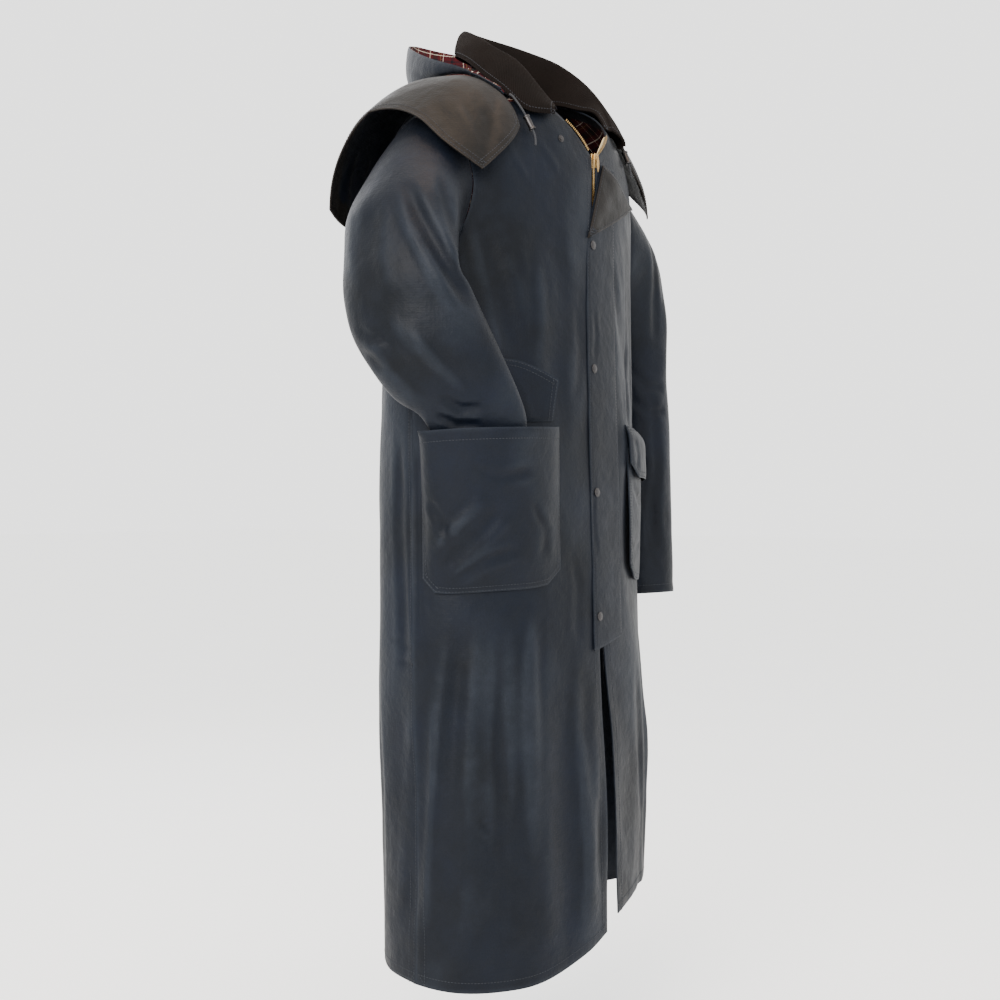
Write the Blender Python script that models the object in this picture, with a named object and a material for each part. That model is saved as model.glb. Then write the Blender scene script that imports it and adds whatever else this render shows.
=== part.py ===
"""A long waxed-cotton riding coat as it is worn, on a general figure that isn't built.

Each piece that a maker would cut and sew on is one named object with real wall thickness.
Metres, +Z up, -Y front, +X the wearer's left; the origin is at the nape, where the coat is carried.
"""

import math
from collections import namedtuple

import bmesh
import bpy
from mathutils import Vector
from mathutils.bvhtree import BVHTree

# Cloth and seams
WALL = 0.0018  # waxed cotton of the body and sleeves
THIN = 0.0010  # lining and zip tape
CORD_CLOTH = 0.0026  # corduroy collar, two layers
SEAM = 0.0003  # gap between pieces at a seam
LAID = 0.0004  # gap under a piece that lies on another
LINING_GAP = 0.0006
LIES_OVER = 0.0008  # gap under a piece whose facets don't follow those below it
UNDERARM_STEP = 0.15  # the rings under the arm follow each other down by this much of the sleeve's run
UNDERARM_HOLD = 0.60  # and keep the armhole's width for this share of it
ARMHOLE_GAP = 0.0012  # the sleeve starts this far outside the armhole edge

# Body
UNDERARM_Z = -0.300
SHOULDER_X = 0.212
ROUNDING = 0.130  # depth below the shoulder line over which the chest and back round out
ROUNDNESS = 2.1  # exponent of the oval sections
ARC_PER_DEGREE = 0.0034  # metres of cloth for each degree around the body
FRONT_GAP = 0.005  # half the gap between the fronts, where the zip lies
ZIP_TOP_Z = -0.135
FLAP_END_Z = -0.805
VENT_TOP_Z = -0.720
BODY_COLUMNS = 9

Section = namedtuple("Section", "z half_width half_depth centre_y")
SECTIONS = (
    Section(-1.27, 0.243, 0.148, -0.016),
    Section(-1.00, 0.243, 0.147, -0.014),
    Section(-0.75, 0.241, 0.145, -0.008),
    Section(-0.45, 0.237, 0.142, -0.003),
    Section(-0.30, 0.236, 0.141, -0.001),
    Section(-0.15, 0.236, 0.141, 0.0),
    Section(0.03, 0.236, 0.141, 0.0),
)

# Height of the hem around the body: 0 at the centre front, 90 at the side seam, 180 at the back
HemPoint = namedtuple("HemPoint", "around right left")
HEM = (
    HemPoint(0, -1.212, -1.194),
    HemPoint(12, -1.232, -1.186),
    HemPoint(30, -1.252, -1.172),
    HemPoint(55, -1.257, -1.180),
    HemPoint(90, -1.249, -1.212),
    HemPoint(130, -1.240, -1.232),
    HemPoint(180, -1.236, -1.236),
)

# Edges of the panels above the underarm: distance from the middle and height
Edge = namedtuple("Edge", "up x z")
FRONT_EDGE = (
    Edge(0.00, FRONT_GAP, UNDERARM_Z),
    Edge(0.55, FRONT_GAP, ZIP_TOP_Z),
    Edge(0.78, 0.066, -0.083),
    Edge(0.90, 0.079, -0.048),
    Edge(1.00, 0.085, -0.0155),
)
BACK_EDGE = (
    Edge(0.00, SEAM / 2, UNDERARM_Z),
    Edge(0.70, SEAM / 2, -0.004),
    Edge(0.82, 0.035, -0.005),
    Edge(0.92, 0.065, -0.010),
    Edge(1.00, 0.085, -0.0155),
)
ARMHOLE = (
    Edge(0.00, 0.2358, UNDERARM_Z),
    Edge(0.10, 0.2270, -0.288),
    Edge(0.28, 0.2080, -0.252),
    Edge(0.55, 0.1980, -0.195),
    Edge(0.80, 0.2030, -0.138),
    Edge(1.00, SHOULDER_X, -0.0896),
)
UPPER_ROWS = (0.10, 0.28, 0.42, 0.55, 0.70, 0.78, 0.90, 1.00)
LOWER_ROWS = 17

# The largest folds of the body; around is negative on the wearer's right, depth negative in a trough
BodyFold = namedtuple("BodyFold", "around_0 z_0 around_1 z_1 half_width depth")
BODY_FOLDS = (
    BodyFold(-54, -0.24, -36, -0.47, 0.016, -0.008),
    BodyFold(-43, -0.27, -28, -0.46, 0.020, 0.004),
    BodyFold(-36, -0.68, -34, -1.26, 0.022, 0.005),
    BodyFold(-20, -0.74, -21, -1.26, 0.026, -0.006),
    BodyFold(-8, -0.88, -6, -1.24, 0.020, 0.003),
    BodyFold(-52, -0.86, -55, -1.27, 0.026, -0.005),
    BodyFold(-74, -0.92, -72, -1.27, 0.030, 0.005),
    BodyFold(-98, -0.60, -94, -1.26, 0.030, -0.006),
    BodyFold(-122, -0.55, -118, -1.25, 0.034, 0.007),
    BodyFold(-148, -0.66, -150, -1.25, 0.030, -0.006),
    BodyFold(24, -0.33, 40, -0.50, 0.018, -0.006),
    BodyFold(18, -0.50, 25, -0.76, 0.016, 0.005),
    BodyFold(17, -0.86, 19, -1.21, 0.022, -0.005),
    BodyFold(34, -0.84, 37, -1.20, 0.026, 0.006),
    BodyFold(58, -0.88, 60, -1.20, 0.030, -0.006),
    BodyFold(95, -0.62, 92, -1.23, 0.032, -0.006),
    BodyFold(120, -0.55, 122, -1.24, 0.034, 0.007),
    BodyFold(146, -0.64, 150, -1.24, 0.030, -0.006),
    BodyFold(-160, -0.24, -140, -0.46, 0.026, -0.006),
    BodyFold(158, -0.25, 138, -0.46, 0.026, -0.006),
)

# Sleeves: a row for each section, its centre, half sizes and the way its outer side faces
SleeveRing = namedtuple("SleeveRing", "along out y z thick wide turn")
SLEEVE_RIGHT = (
    SleeveRing(0.00, 0.2480, -0.004, -0.195, 0.062, 0.086, 0),
    SleeveRing(0.14, 0.2650, -0.014, -0.240, 0.058, 0.088, 2),
    SleeveRing(0.28, 0.2820, -0.027, -0.300, 0.051, 0.088, 6),
    SleeveRing(0.42, 0.2920, -0.038, -0.360, 0.050, 0.086, 12),
    SleeveRing(0.56, 0.2770, -0.0650, -0.415, 0.046, 0.081, 27),
    SleeveRing(0.70, 0.2510, -0.0815, -0.465, 0.035, 0.076, 37),
    SleeveRing(0.84, 0.2205, -0.0985, -0.515, 0.0235, 0.066, 46),
    SleeveRing(0.93, 0.2150, -0.0980, -0.552, 0.0190, 0.053, 47),
    SleeveRing(1.00, 0.2110, -0.0980, -0.590, 0.0160, 0.046, 47),
)
SLEEVE_LEFT = (
    SleeveRing(0.00, 0.2480, 0.000, -0.195, 0.062, 0.088, 0),
    SleeveRing(0.12, 0.2740, 0.000, -0.240, 0.060, 0.088, 0),
    SleeveRing(0.26, 0.2980, 0.000, -0.310, 0.057, 0.085, 0),
    SleeveRing(0.45, 0.3120, -0.004, -0.430, 0.059, 0.078, 0),
    SleeveRing(0.70, 0.3160, -0.014, -0.580, 0.056, 0.070, 2),
    SleeveRing(0.88, 0.3170, -0.024, -0.690, 0.054, 0.065, 4),
    SleeveRing(1.00, 0.3170, -0.029, -0.762, 0.053, 0.062, 5),
)
SLEEVE_ROWS = 20
SLEEVE_COLUMNS = 20
SLEEVE_ARC_PER_DEGREE = 0.0012
SLEEVE_LENGTH = 0.62

# Folds of the sleeves: round is 0 on the outer side and 90 at the front, along is 0 at the armhole
SleeveFold = namedtuple("SleeveFold", "round_0 along_0 round_1 along_1 half_width depth")
FOLDS_RIGHT = (
    SleeveFold(38, 0.06, 96, 0.50, 0.011, 0.006),
    SleeveFold(62, 0.10, 118, 0.50, 0.014, -0.011),
    SleeveFold(96, 0.06, 140, 0.42, 0.014, 0.006),
    SleeveFold(-8, 0.16, 8, 0.46, 0.018, 0.004),
    SleeveFold(-50, 0.40, 60, 0.50, 0.016, -0.006),
    SleeveFold(-70, 0.46, 30, 0.60, 0.014, 0.006),
    SleeveFold(-60, 0.56, 20, 0.72, 0.016, -0.005),
    SleeveFold(240, 0.18, 200, 0.52, 0.020, -0.007),
)
FOLDS_LEFT = (
    SleeveFold(38, 0.06, 90, 0.42, 0.011, 0.006),
    SleeveFold(62, 0.10, 112, 0.44, 0.014, -0.009),
    SleeveFold(-30, 0.38, 70, 0.44, 0.018, -0.005),
    SleeveFold(-60, 0.50, 40, 0.58, 0.018, 0.004),
    SleeveFold(240, 0.18, 200, 0.48, 0.020, -0.006),
    SleeveFold(20, 0.84, 110, 0.90, 0.012, -0.003),
)

# Collar: around is -1 at the right front end, 0 at the back and 1 at the left front end
CollarStation = namedtuple("CollarStation", "around roll_x roll_y roll_z edge_x edge_y edge_z")
COLLAR = (
    CollarStation(-1.00, -0.070, -0.120, -0.074, -0.085, -0.1295, -0.089),
    CollarStation(-0.80, -0.079, -0.103, -0.050, -0.122, -0.1125, -0.092),
    CollarStation(-0.60, -0.089, -0.073, -0.010, -0.134, -0.0800, -0.060),
    CollarStation(-0.40, -0.092, -0.040, 0.012, -0.126, -0.0440, -0.034),
    CollarStation(-0.22, -0.083, -0.005, 0.036, -0.113, -0.0060, -0.005),
    CollarStation(-0.12, -0.062, 0.035, 0.056, -0.086, 0.0350, 0.019),
    CollarStation(-0.06, -0.034, 0.059, 0.069, -0.047, 0.0720, 0.031),
    CollarStation(0.00, 0.000, 0.070, 0.076, 0.000, 0.0890, 0.036),
    CollarStation(0.06, 0.034, 0.060, 0.074, 0.046, 0.0760, 0.032),
    CollarStation(0.12, 0.060, 0.040, 0.066, 0.084, 0.0450, 0.022),
    CollarStation(0.22, 0.084, 0.003, 0.050, 0.113, 0.0000, 0.003),
    CollarStation(0.40, 0.096, -0.030, 0.029, 0.127, -0.0420, -0.026),
    CollarStation(0.60, 0.100, -0.062, 0.000, 0.135, -0.0760, -0.054),
    CollarStation(0.80, 0.097, -0.092, -0.038, 0.124, -0.1090, -0.086),
    CollarStation(1.00, 0.076, -0.120, -0.078, 0.100, -0.1320, -0.098),
)
COLLAR_COLUMNS = 22
COLLAR_ROLL = 0.0045  # radius of the soft fold

# Hood hanging behind the neck: its neck edge, the bottom of its bag and its rim
HoodStation = namedtuple("HoodStation", "around neck_x neck_y neck_z low_x low_y low_z rim_x rim_y rim_z")
HOOD = (
    HoodStation(-1.00, -0.130, -0.082, -0.060, -0.137, -0.080, -0.062, -0.140, -0.079, -0.056),
    HoodStation(-0.75, -0.110, -0.020, -0.018, -0.122, -0.016, -0.024, -0.126, -0.012, -0.018),
    HoodStation(-0.52, -0.094, 0.040, -0.004, -0.108, 0.052, -0.012, -0.108, 0.058, 0.010),
    HoodStation(-0.25, -0.058, 0.083, 0.003, -0.068, 0.122, -0.016, -0.066, 0.130, 0.046),
    HoodStation(-0.12, -0.032, 0.095, 0.003, -0.038, 0.143, -0.018, -0.038, 0.160, 0.064),
    HoodStation(0.00, 0.000, 0.099, 0.003, 0.000, 0.150, -0.018, 0.000, 0.172, 0.074),
    HoodStation(0.12, 0.032, 0.095, 0.003, 0.038, 0.143, -0.018, 0.040, 0.161, 0.073),
    HoodStation(0.25, 0.058, 0.083, 0.003, 0.068, 0.122, -0.016, 0.070, 0.132, 0.068),
    HoodStation(0.52, 0.094, 0.040, -0.004, 0.108, 0.052, -0.012, 0.108, 0.060, 0.024),
    HoodStation(0.75, 0.110, -0.020, -0.018, 0.122, -0.016, -0.024, 0.126, -0.012, -0.016),
    HoodStation(1.00, 0.130, -0.082, -0.060, 0.137, -0.080, -0.062, 0.140, -0.079, -0.056),
)
HOOD_COLUMNS = 22

# Cape of the hood: its seam under the hood, its lower edge and how far it swells between them
CapeStation = namedtuple("CapeStation", "around top_x top_y top_z edge_x edge_y edge_z swell_y swell_z")
CAPE = (
    CapeStation(0.00, 0.141, -0.084, -0.070, 0.143, -0.1130, -0.116, -0.004, 0.002),
    CapeStation(0.07, 0.140, -0.077, -0.064, 0.167, -0.1180, -0.140, -0.006, 0.004),
    CapeStation(0.14, 0.138, -0.068, -0.057, 0.198, -0.1130, -0.166, -0.010, 0.010),
    CapeStation(0.20, 0.135, -0.058, -0.050, 0.216, -0.1040, -0.184, -0.012, 0.014),
    CapeStation(0.27, 0.132, -0.044, -0.042, 0.236, -0.0900, -0.168, -0.014, 0.018),
    CapeStation(0.34, 0.130, -0.030, -0.036, 0.250, -0.0620, -0.146, -0.012, 0.020),
    CapeStation(0.41, 0.128, -0.014, -0.031, 0.250, -0.0280, -0.112, -0.004, 0.018),
    CapeStation(0.47, 0.125, 0.004, -0.028, 0.246, 0.0150, -0.093, 0.000, 0.014),
    CapeStation(0.53, 0.120, 0.022, -0.026, 0.246, 0.0520, -0.090, 0.002, 0.014),
    CapeStation(0.60, 0.110, 0.042, -0.021, 0.252, 0.0800, -0.110, 0.010, 0.016),
    CapeStation(0.68, 0.097, 0.066, -0.022, 0.258, 0.1060, -0.150, 0.016, 0.018),
    CapeStation(0.76, 0.083, 0.090, -0.023, 0.255, 0.1230, -0.196, 0.018, 0.018),
    CapeStation(0.83, 0.067, 0.109, -0.025, 0.236, 0.1330, -0.228, 0.018, 0.012),
    CapeStation(0.91, 0.038, 0.131, -0.027, 0.140, 0.1560, -0.236, 0.012, 0.004),
    CapeStation(1.00, 0.000, 0.138, -0.028, 0.000, 0.1690, -0.238, 0.008, 0.000),
)
CAPE_COLUMNS = 20
CAPE_ROWS = 6

# Storm flap on the left front, and the corner of it that is turned back
FLAP_FREE_X = -0.022
FLAP_SEAM_X = 0.056
FLAP_TURN_Z = -0.250
FLAP_TURN_TOP = (0.018, -0.142)
LAPEL_CORNER = (0.122, -0.186)
SNAP_X = -0.0085
SNAP_HEIGHTS = (-0.258, -0.430, -0.602, -0.774)
OPEN_SNAP = (-0.072, -0.120)
SNAP_RADIUS = 0.0062

# Patch pockets, given in degrees around the front and in height
POCKET_REAR = 84.0
POCKET_FRONT = 22.0
POCKET_TOP_Z = -0.526
POCKET_DEPTH = 0.212
POCKET_SLANT = 0.010  # the front end of the mouth is this much higher
POCKET_CHAMFER = 0.022
POCKET_FULL = 0.062  # the right pocket's mouth stands out this far round the sleeve
POCKET_FLAT = 0.010
FLAP_HEIGHT = 0.085

# Zip
TEETH_WIDE = 0.0052
TEETH_THICK = 0.0026
TAPE_OVER = 0.004  # the tape shows this far past the cloth's edge in the open part
SLIDER = (0.0100, 0.0075, 0.0200)
PULL = (0.0060, 0.0014, 0.0200)

# Hood cord and its toggles
CORD_DIAMETER = 0.003
TOGGLE_RADIUS = 0.0050
TOGGLE_LENGTH = 0.016
CORD_RIGHT = (
    (-0.1375, -0.0925, -0.0680),
    (-0.1365, -0.0990, -0.0740),
    (-0.1340, -0.1065, -0.0850),
    (-0.1300, -0.1135, -0.0980),
)
CORD_END = (
    (-0.1270, -0.1235, -0.1190),
    (-0.1260, -0.1260, -0.1280),
    (-0.1270, -0.1275, -0.1390),
)

COLOURS = {
    "waxed cotton": ((0.020, 0.026, 0.042), 0.55, 0.0),
    "corduroy": ((0.030, 0.020, 0.015), 0.85, 0.0),
    "tartan": ((0.090, 0.020, 0.024), 0.80, 0.0),
    "zip tape": ((0.600, 0.540, 0.420), 0.80, 0.0),
    "brass": ((0.560, 0.400, 0.160), 0.35, 1.0),
    "gunmetal": ((0.110, 0.110, 0.115), 0.40, 1.0),
    "cord": ((0.020, 0.020, 0.022), 0.80, 0.0),
}


def clear_scene():
    for item in list(bpy.data.objects):
        bpy.data.objects.remove(item, do_unlink=True)


def make_materials():
    made = {}
    for name, (colour, roughness, metallic) in COLOURS.items():
        material = bpy.data.materials.new(name)
        material.use_nodes = True
        shader = material.node_tree.nodes["Principled BSDF"]
        shader.inputs["Base Color"].default_value = (*colour, 1.0)
        shader.inputs["Roughness"].default_value = roughness
        shader.inputs["Metallic"].default_value = metallic
        made[name] = material
    return made


def read(rows, at, column):
    """A column's value at a place, on a smooth curve through the rows; the first column is the place."""
    places = [row[0] for row in rows]
    values = [getattr(row, column) for row in rows]
    if at <= places[0]:
        return values[0]
    if at >= places[-1]:
        return values[-1]
    i = max(k for k in range(len(rows) - 1) if places[k] <= at)
    span = places[i + 1] - places[i]
    t = (at - places[i]) / span
    step = (values[i + 1] - values[i]) / span
    before = (values[i] - values[i - 1]) / (places[i] - places[i - 1]) if i else step
    last = i + 2 >= len(rows)
    after = step if last else (values[i + 2] - values[i + 1]) / (places[i + 2] - places[i + 1])
    slope_0 = (before + step) / 2 if before * step > 0 else 0.0
    slope_1 = (after + step) / 2 if after * step > 0 else 0.0
    if not i:
        slope_0 = step
    if last:
        slope_1 = step
    h = t * t * (3 - 2 * t)
    return (
        values[i] * (1 - h)
        + values[i + 1] * h
        + span * (slope_0 * t * (1 - t) ** 2 - slope_1 * t * t * (1 - t))
    )


def read_straight(rows, at, column):
    """A column's value at a place, on straight runs between the rows."""
    for low, high in zip(rows, rows[1:]):
        if at <= high[0]:
            t = max(0.0, (at - low[0]) / (high[0] - low[0]))
            return getattr(low, column) * (1 - t) + getattr(high, column) * t
    return getattr(rows[-1], column)


def fold_height(rows, around, along, arc, length):
    """How far the cloth stands out at a place: the sum of soft ridges and troughs along straight lines."""
    total = 0.0
    for around_0, along_0, around_1, along_1, half_width, depth in rows:
        run = ((around_1 - around_0) * arc, (along_1 - along_0) * length)
        place = ((around - around_0) * arc, (along - along_0) * length)
        t = (place[0] * run[0] + place[1] * run[1]) / (run[0] ** 2 + run[1] ** 2)
        if -0.2 < t < 1.2:
            held = min(1.0, max(0.0, t))
            off = math.hypot(place[0] - held * run[0], place[1] - held * run[1]) / half_width
            total += depth * math.exp(-off * off) * (0.35 + 0.65 * math.sin(math.pi * held))
    return total


def grid_normals(grid, closed, outward):
    """Unit normals of a grid of points, turned so that they point the way outward says."""
    rows, columns = len(grid), len(grid[0])
    normals = []
    for i in range(rows):
        line = []
        for j in range(columns):
            up = grid[min(i + 1, rows - 1)][j] - grid[max(i - 1, 0)][j]
            if closed:
                side = grid[i][(j + 1) % columns] - grid[i][j - 1]
            else:
                side = grid[i][min(j + 1, columns - 1)] - grid[i][max(j - 1, 0)]
            normal = up.cross(side)
            if normal.length < 1e-12:
                normal = Vector(line[-1]) if line else Vector((0, 0, 1))
            if normal.dot(outward(grid[i][j], i, j)) < 0:
                normal.negate()
            line.append(normal.normalized())
        normals.append(line)
    return normals


def solid_from_grids(name, outer, inner, material, closed=False):
    """One closed wall between an outer and an inner grid of points, with its rims."""
    mesh = bmesh.new()
    rows, columns = len(outer), len(outer[0])
    out = [[mesh.verts.new(p) for p in line] for line in outer]
    ins = [[mesh.verts.new(p) for p in line] for line in inner]
    last = columns if closed else columns - 1
    for i in range(rows - 1):
        for j in range(last):
            k = (j + 1) % columns
            mesh.faces.new((out[i][j], out[i][k], out[i + 1][k], out[i + 1][j]))
            mesh.faces.new((ins[i][j], ins[i + 1][j], ins[i + 1][k], ins[i][k]))
    for i in (0, rows - 1):
        for j in range(last):
            k = (j + 1) % columns
            mesh.faces.new((out[i][j], ins[i][j], ins[i][k], out[i][k]))
    if not closed:
        for j in (0, columns - 1):
            for i in range(rows - 1):
                mesh.faces.new((out[i][j], out[i + 1][j], ins[i + 1][j], ins[i][j]))
    return finish(name, mesh, material)


class Cover:
    """The faces that later pieces lie on, and a way to keep a point clear of them."""

    def __init__(self, *grids):
        points, faces = [], []
        for grid, ways, closed in grids:
            start, columns = len(points), len(grid[0])
            points += [p for line in grid for p in line]
            for i in range(len(grid) - 1):
                for j in range(columns if closed else columns - 1):
                    k = (j + 1) % columns
                    face = [start + i * columns + j, start + i * columns + k]
                    face += [start + (i + 1) * columns + k, start + (i + 1) * columns + j]
                    corner = [points[c] for c in face]
                    normal = (corner[2] - corner[0]).cross(corner[3] - corner[1])
                    faces.append(face if normal.dot(ways[i][j]) > 0 else face[::-1])
        self.tree = BVHTree.FromPolygons(points, faces)

    def clear(self, point, gap, reach=0.03):
        """The point, moved straight out of the nearest face until it is a gap away from it."""
        moved = Vector(point)
        for _ in range(4):
            near, normal, index, distance = self.tree.find_nearest(moved)
            if near is None or distance > reach:
                return moved
            short = gap - (moved - near).dot(normal)
            if short <= 0:
                return moved
            moved += normal * short
        return moved


def finish(name, mesh, material):
    """Turn a bmesh into a named object with its faces pointing out."""
    bmesh.ops.recalc_face_normals(mesh, faces=mesh.faces)
    if mesh.calc_volume(signed=True) < 0:
        bmesh.ops.reverse_faces(mesh, faces=mesh.faces)
    data = bpy.data.meshes.new(name)
    mesh.to_mesh(data)
    mesh.free()
    data.materials.append(material)
    data.shade_smooth()
    data.set_sharp_from_angle(angle=math.radians(50))
    made = bpy.data.objects.new(name, data)
    bpy.context.scene.collection.objects.link(made)
    return made


def shoulder_line(x):
    """Height of the shoulder seam, which runs on across the neck."""
    return 0.011 - 0.2 * abs(x) - 1.3 * x * x


def body_surface(x, z, face):
    """Front (face -1) or back (face 1) of the body, without folds, at a width and height."""
    half_width = read(SECTIONS, z, "half_width")
    half_depth = read(SECTIONS, z, "half_depth")
    across = max(0.0, 1 - (abs(x) / half_width) ** ROUNDNESS) ** (1 / ROUNDNESS)
    drop = min(1.0, max(0.0, (shoulder_line(x) - z) / ROUNDING))
    rounding = math.sqrt(max(0.0, 1 - (1 - drop) ** 2))
    return read(SECTIONS, z, "centre_y") + face * half_depth * across * rounding


def around_of(x, z, face):
    """Degrees from the centre front, negative on the wearer's right."""
    turn = math.degrees(math.asin(min(1.0, abs(x) / read(SECTIONS, z, "half_width"))))
    return math.copysign(turn if face < 0 else 180 - turn, x if x else 1e-9)


def on_body(x, z, face):
    """A point on the outer face of the body cloth with its folds, and the way out of the cloth there."""
    reach = 0.004
    held = max(-0.2355, min(0.2355, x))

    def bare(px, pz):
        return Vector((px, body_surface(px, pz, face), pz))

    if abs(held) > 0.2325:
        out = Vector((math.copysign(1, held), face * math.sqrt(max(0.0, 1 - (held / 0.236) ** 2)), 0))
    else:
        along = bare(held + reach, z) - bare(held - reach, z)
        up = bare(held, z + reach) - bare(held, z - reach)
        out = along.cross(up)
        if out.y * face < 0:
            out.negate()
    out.normalize()
    lift = fold_height(BODY_FOLDS, around_of(x, z, face), z, ARC_PER_DEGREE, 1.0)
    faded = min(1.0, max(0.0, (shoulder_line(x) - z) / 0.05))
    return bare(x, z) + out * lift * faded, out


def front_edge_x(side, z):
    """How far a front's edge is from the middle: the zip's gap, then the slit that opens below it."""
    if z > FLAP_END_Z:
        return FRONT_GAP
    opened = min(1.0, (FLAP_END_Z - z) / 0.12)
    if side < 0:
        return FRONT_GAP - 0.004 * opened
    return FRONT_GAP + 0.014 * opened + 0.014 * min(1.0, (FLAP_END_Z - z) / 0.40)


def back_edge_x(z):
    """Half the gap between the backs, which opens into the riding vent."""
    return SEAM / 2 + 0.007 * max(0.0, (VENT_TOP_Z - z) / 0.5)


def panel_place(side, face, s, up):
    """Width and height on a panel; s runs from the middle to the side, up from -1 at the hem to 1."""
    if up <= 0:
        hem = "right" if side < 0 else "left"
        around = 90 * s if face < 0 else 180 - 90 * s
        z = UNDERARM_Z - up * (read(HEM, around, hem) - UNDERARM_Z)
        inner = front_edge_x(side, z) if face < 0 else back_edge_x(z)
        half = read(SECTIONS, z, "half_width") - SEAM / 2
        return inner + (half - inner) * math.sin(s * math.pi / 2), z
    edge = FRONT_EDGE if face < 0 else BACK_EDGE
    inner_x, inner_z = read_straight(edge, up, "x"), read_straight(edge, up, "z")
    outer_x, outer_z = read_straight(ARMHOLE, up, "x"), read_straight(ARMHOLE, up, "z")
    even = min(1.0, up / 0.4)
    share = (1 - even) * math.sin(s * math.pi / 2) + even * (0.65 * s + 0.35 * math.sin(s * math.pi / 2))
    x = inner_x + (outer_x - inner_x) * share
    z = inner_z + (outer_z - inner_z) * (0.5 * s + 0.5 * s * s if up < 0.6 else s)
    top = shoulder_line(x)
    if up > 0.9:
        z = z + (top - z) * (up - 0.9) / 0.1
    return x, min(z, top)


def panel_point(side, face, s, up):
    """A point of a panel's outer face and the way out of the cloth."""
    x, z = panel_place(side, face, s, up)
    point, out = on_body(side * x, z, face)
    if up >= 1 or (up > 0 and x > 0.2325):
        out = Vector((out.x, 0.0, out.z))
        if up >= 1:
            out = Vector((side * 0.45, 0.0, 1.0))
    if up <= 0 and s >= 1:
        out = Vector((side, 0.0, 0.0))
    if face > 0 and s <= 0:
        out.x = 0.0
    out.normalize()
    middle = read(SECTIONS, z, "centre_y")
    if (up <= 0 and s >= 1) or up >= 1 or (up > 0 and x > 0.2325):
        point.y = middle + face * max(abs(point.y - middle), SEAM / 2)
        if up <= 0:
            point.y = middle + face * SEAM / 2
            point.x = side * (x - SEAM)
    return point, out


def panel(name, side, face, material):
    """A front or back from shoulder to hem; returns its outer and inner faces for what lies on them."""
    ups = [-1 + i / LOWER_ROWS for i in range(LOWER_ROWS + 1)] + list(UPPER_ROWS)
    outer, inner, ways = [], [], []
    for up in ups:
        line = [panel_point(side, face, j / BODY_COLUMNS, up) for j in range(BODY_COLUMNS + 1)]
        outer.append([p for p, out in line])
        inner.append([p - out * WALL for p, out in line])
        ways.append([out for p, out in line])
    solid_from_grids(name, outer, inner, material)
    return (outer, ways, False), (inner, [[-out for out in line] for line in ways], False)


def armhole_point(side, turn):
    """A point of the armhole: 0 at the shoulder, 90 at the front, 180 under the arm, 270 at the back."""
    face = -1 if turn <= 180 else 1
    up = abs(180 - turn) / 180
    point, out = panel_point(side, face, 1.0, up)
    return point


def sleeve_frame(rows, side, along):
    """Centre of a sleeve's section and its outward, forward and lengthwise directions."""
    def centre(at):
        return Vector((side * read(rows, at, "out"), read(rows, at, "y"), read(rows, at, "z")))

    run = (centre(min(1.0, along + 0.03)) - centre(max(0.0, along - 0.03))).normalized()
    turn = math.radians(read(rows, along, "turn"))
    outward = Vector((side * math.cos(turn), -math.sin(turn), 0.0))
    outward = (outward - run * outward.dot(run)).normalized()
    forward = outward.cross(run).normalized()
    if forward.y > 0:
        forward.negate()
    level = min(1.0, max(0.0, (along - 0.55) / 0.25)) if side < 0 else 0.0
    forward.z *= 1 - level
    outward.z *= 1 - level
    return centre(along), outward.normalized(), forward.normalized(), run


def sleeve_point(rows, folds, side, along, turn):
    """A point on a sleeve's outer face."""
    centre, outward, forward, run = sleeve_frame(rows, side, along)
    angle = math.radians(turn)
    lift = fold_height(folds, (turn + 120) % 360 - 120, along, SLEEVE_ARC_PER_DEGREE, SLEEVE_LENGTH)
    lift += fold_height(folds, turn, along, SLEEVE_ARC_PER_DEGREE, SLEEVE_LENGTH) if turn > 240 else 0.0
    inside = max(0.0, -math.cos(angle))
    lift *= (1 - inside) * min(1.0, (1 - along) / 0.12)
    thick = read(rows, along, "thick") + lift
    wide = read(rows, along, "wide") + lift
    return centre + outward * thick * math.cos(angle) + forward * wide * math.sin(angle)


def sleeve(name, side, rows, folds, body, material):
    """A sleeve from the armhole to its open end; returns its outer face."""
    outer = []
    turns = [360 * j / SLEEVE_COLUMNS for j in range(SLEEVE_COLUMNS)]
    for i in range(SLEEVE_ROWS + 1):
        along = i / SLEEVE_ROWS
        joined = max(0.0, 1 - along / 0.14) ** 1.3
        line = []
        for turn in turns:
            free = sleeve_point(rows, folds, side, max(along, 0.05), turn)
            seam = armhole_point(side, turn) + Vector((side * ARMHOLE_GAP, 0, 0))
            point = free.lerp(seam, joined) if along < 0.14 else free
            if along and along < 0.40:
                point.x = side * max(side * point.x, side * seam.x + ARMHOLE_GAP + 0.02 * along)
                point.z = min(point.z, seam.z - UNDERARM_STEP * along)
                under = max(0.0, -math.cos(math.radians(turn))) ** 0.25
                point.y += (seam.y - point.y) * under * max(0.0, 1 - along / UNDERARM_HOLD)
            if along > 0.2:
                point = body.clear(point, 0.0015 if along < 0.5 else 0.0050)
            line.append(point)
        outer.append(line)
    axis = [sleeve_frame(rows, side, i / SLEEVE_ROWS)[0] for i in range(SLEEVE_ROWS + 1)]

    def away(p, i, j):
        under_arm = 150 < turns[j] < 230 and i <= 7
        return Vector((-side, 0, 0)) if under_arm else p - axis[i]

    normals = grid_normals(outer, True, away)
    for j, normal in enumerate(normals[0]):
        flat = Vector((side * min(0.0, side * normal.x), normal.y, normal.z))
        normals[0][j] = flat.normalized()
    inner = [[p - n * WALL for p, n in zip(line, out)] for line, out in zip(outer, normals)]
    solid_from_grids(name, outer, inner, material, closed=True)
    return outer, normals, True


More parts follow.
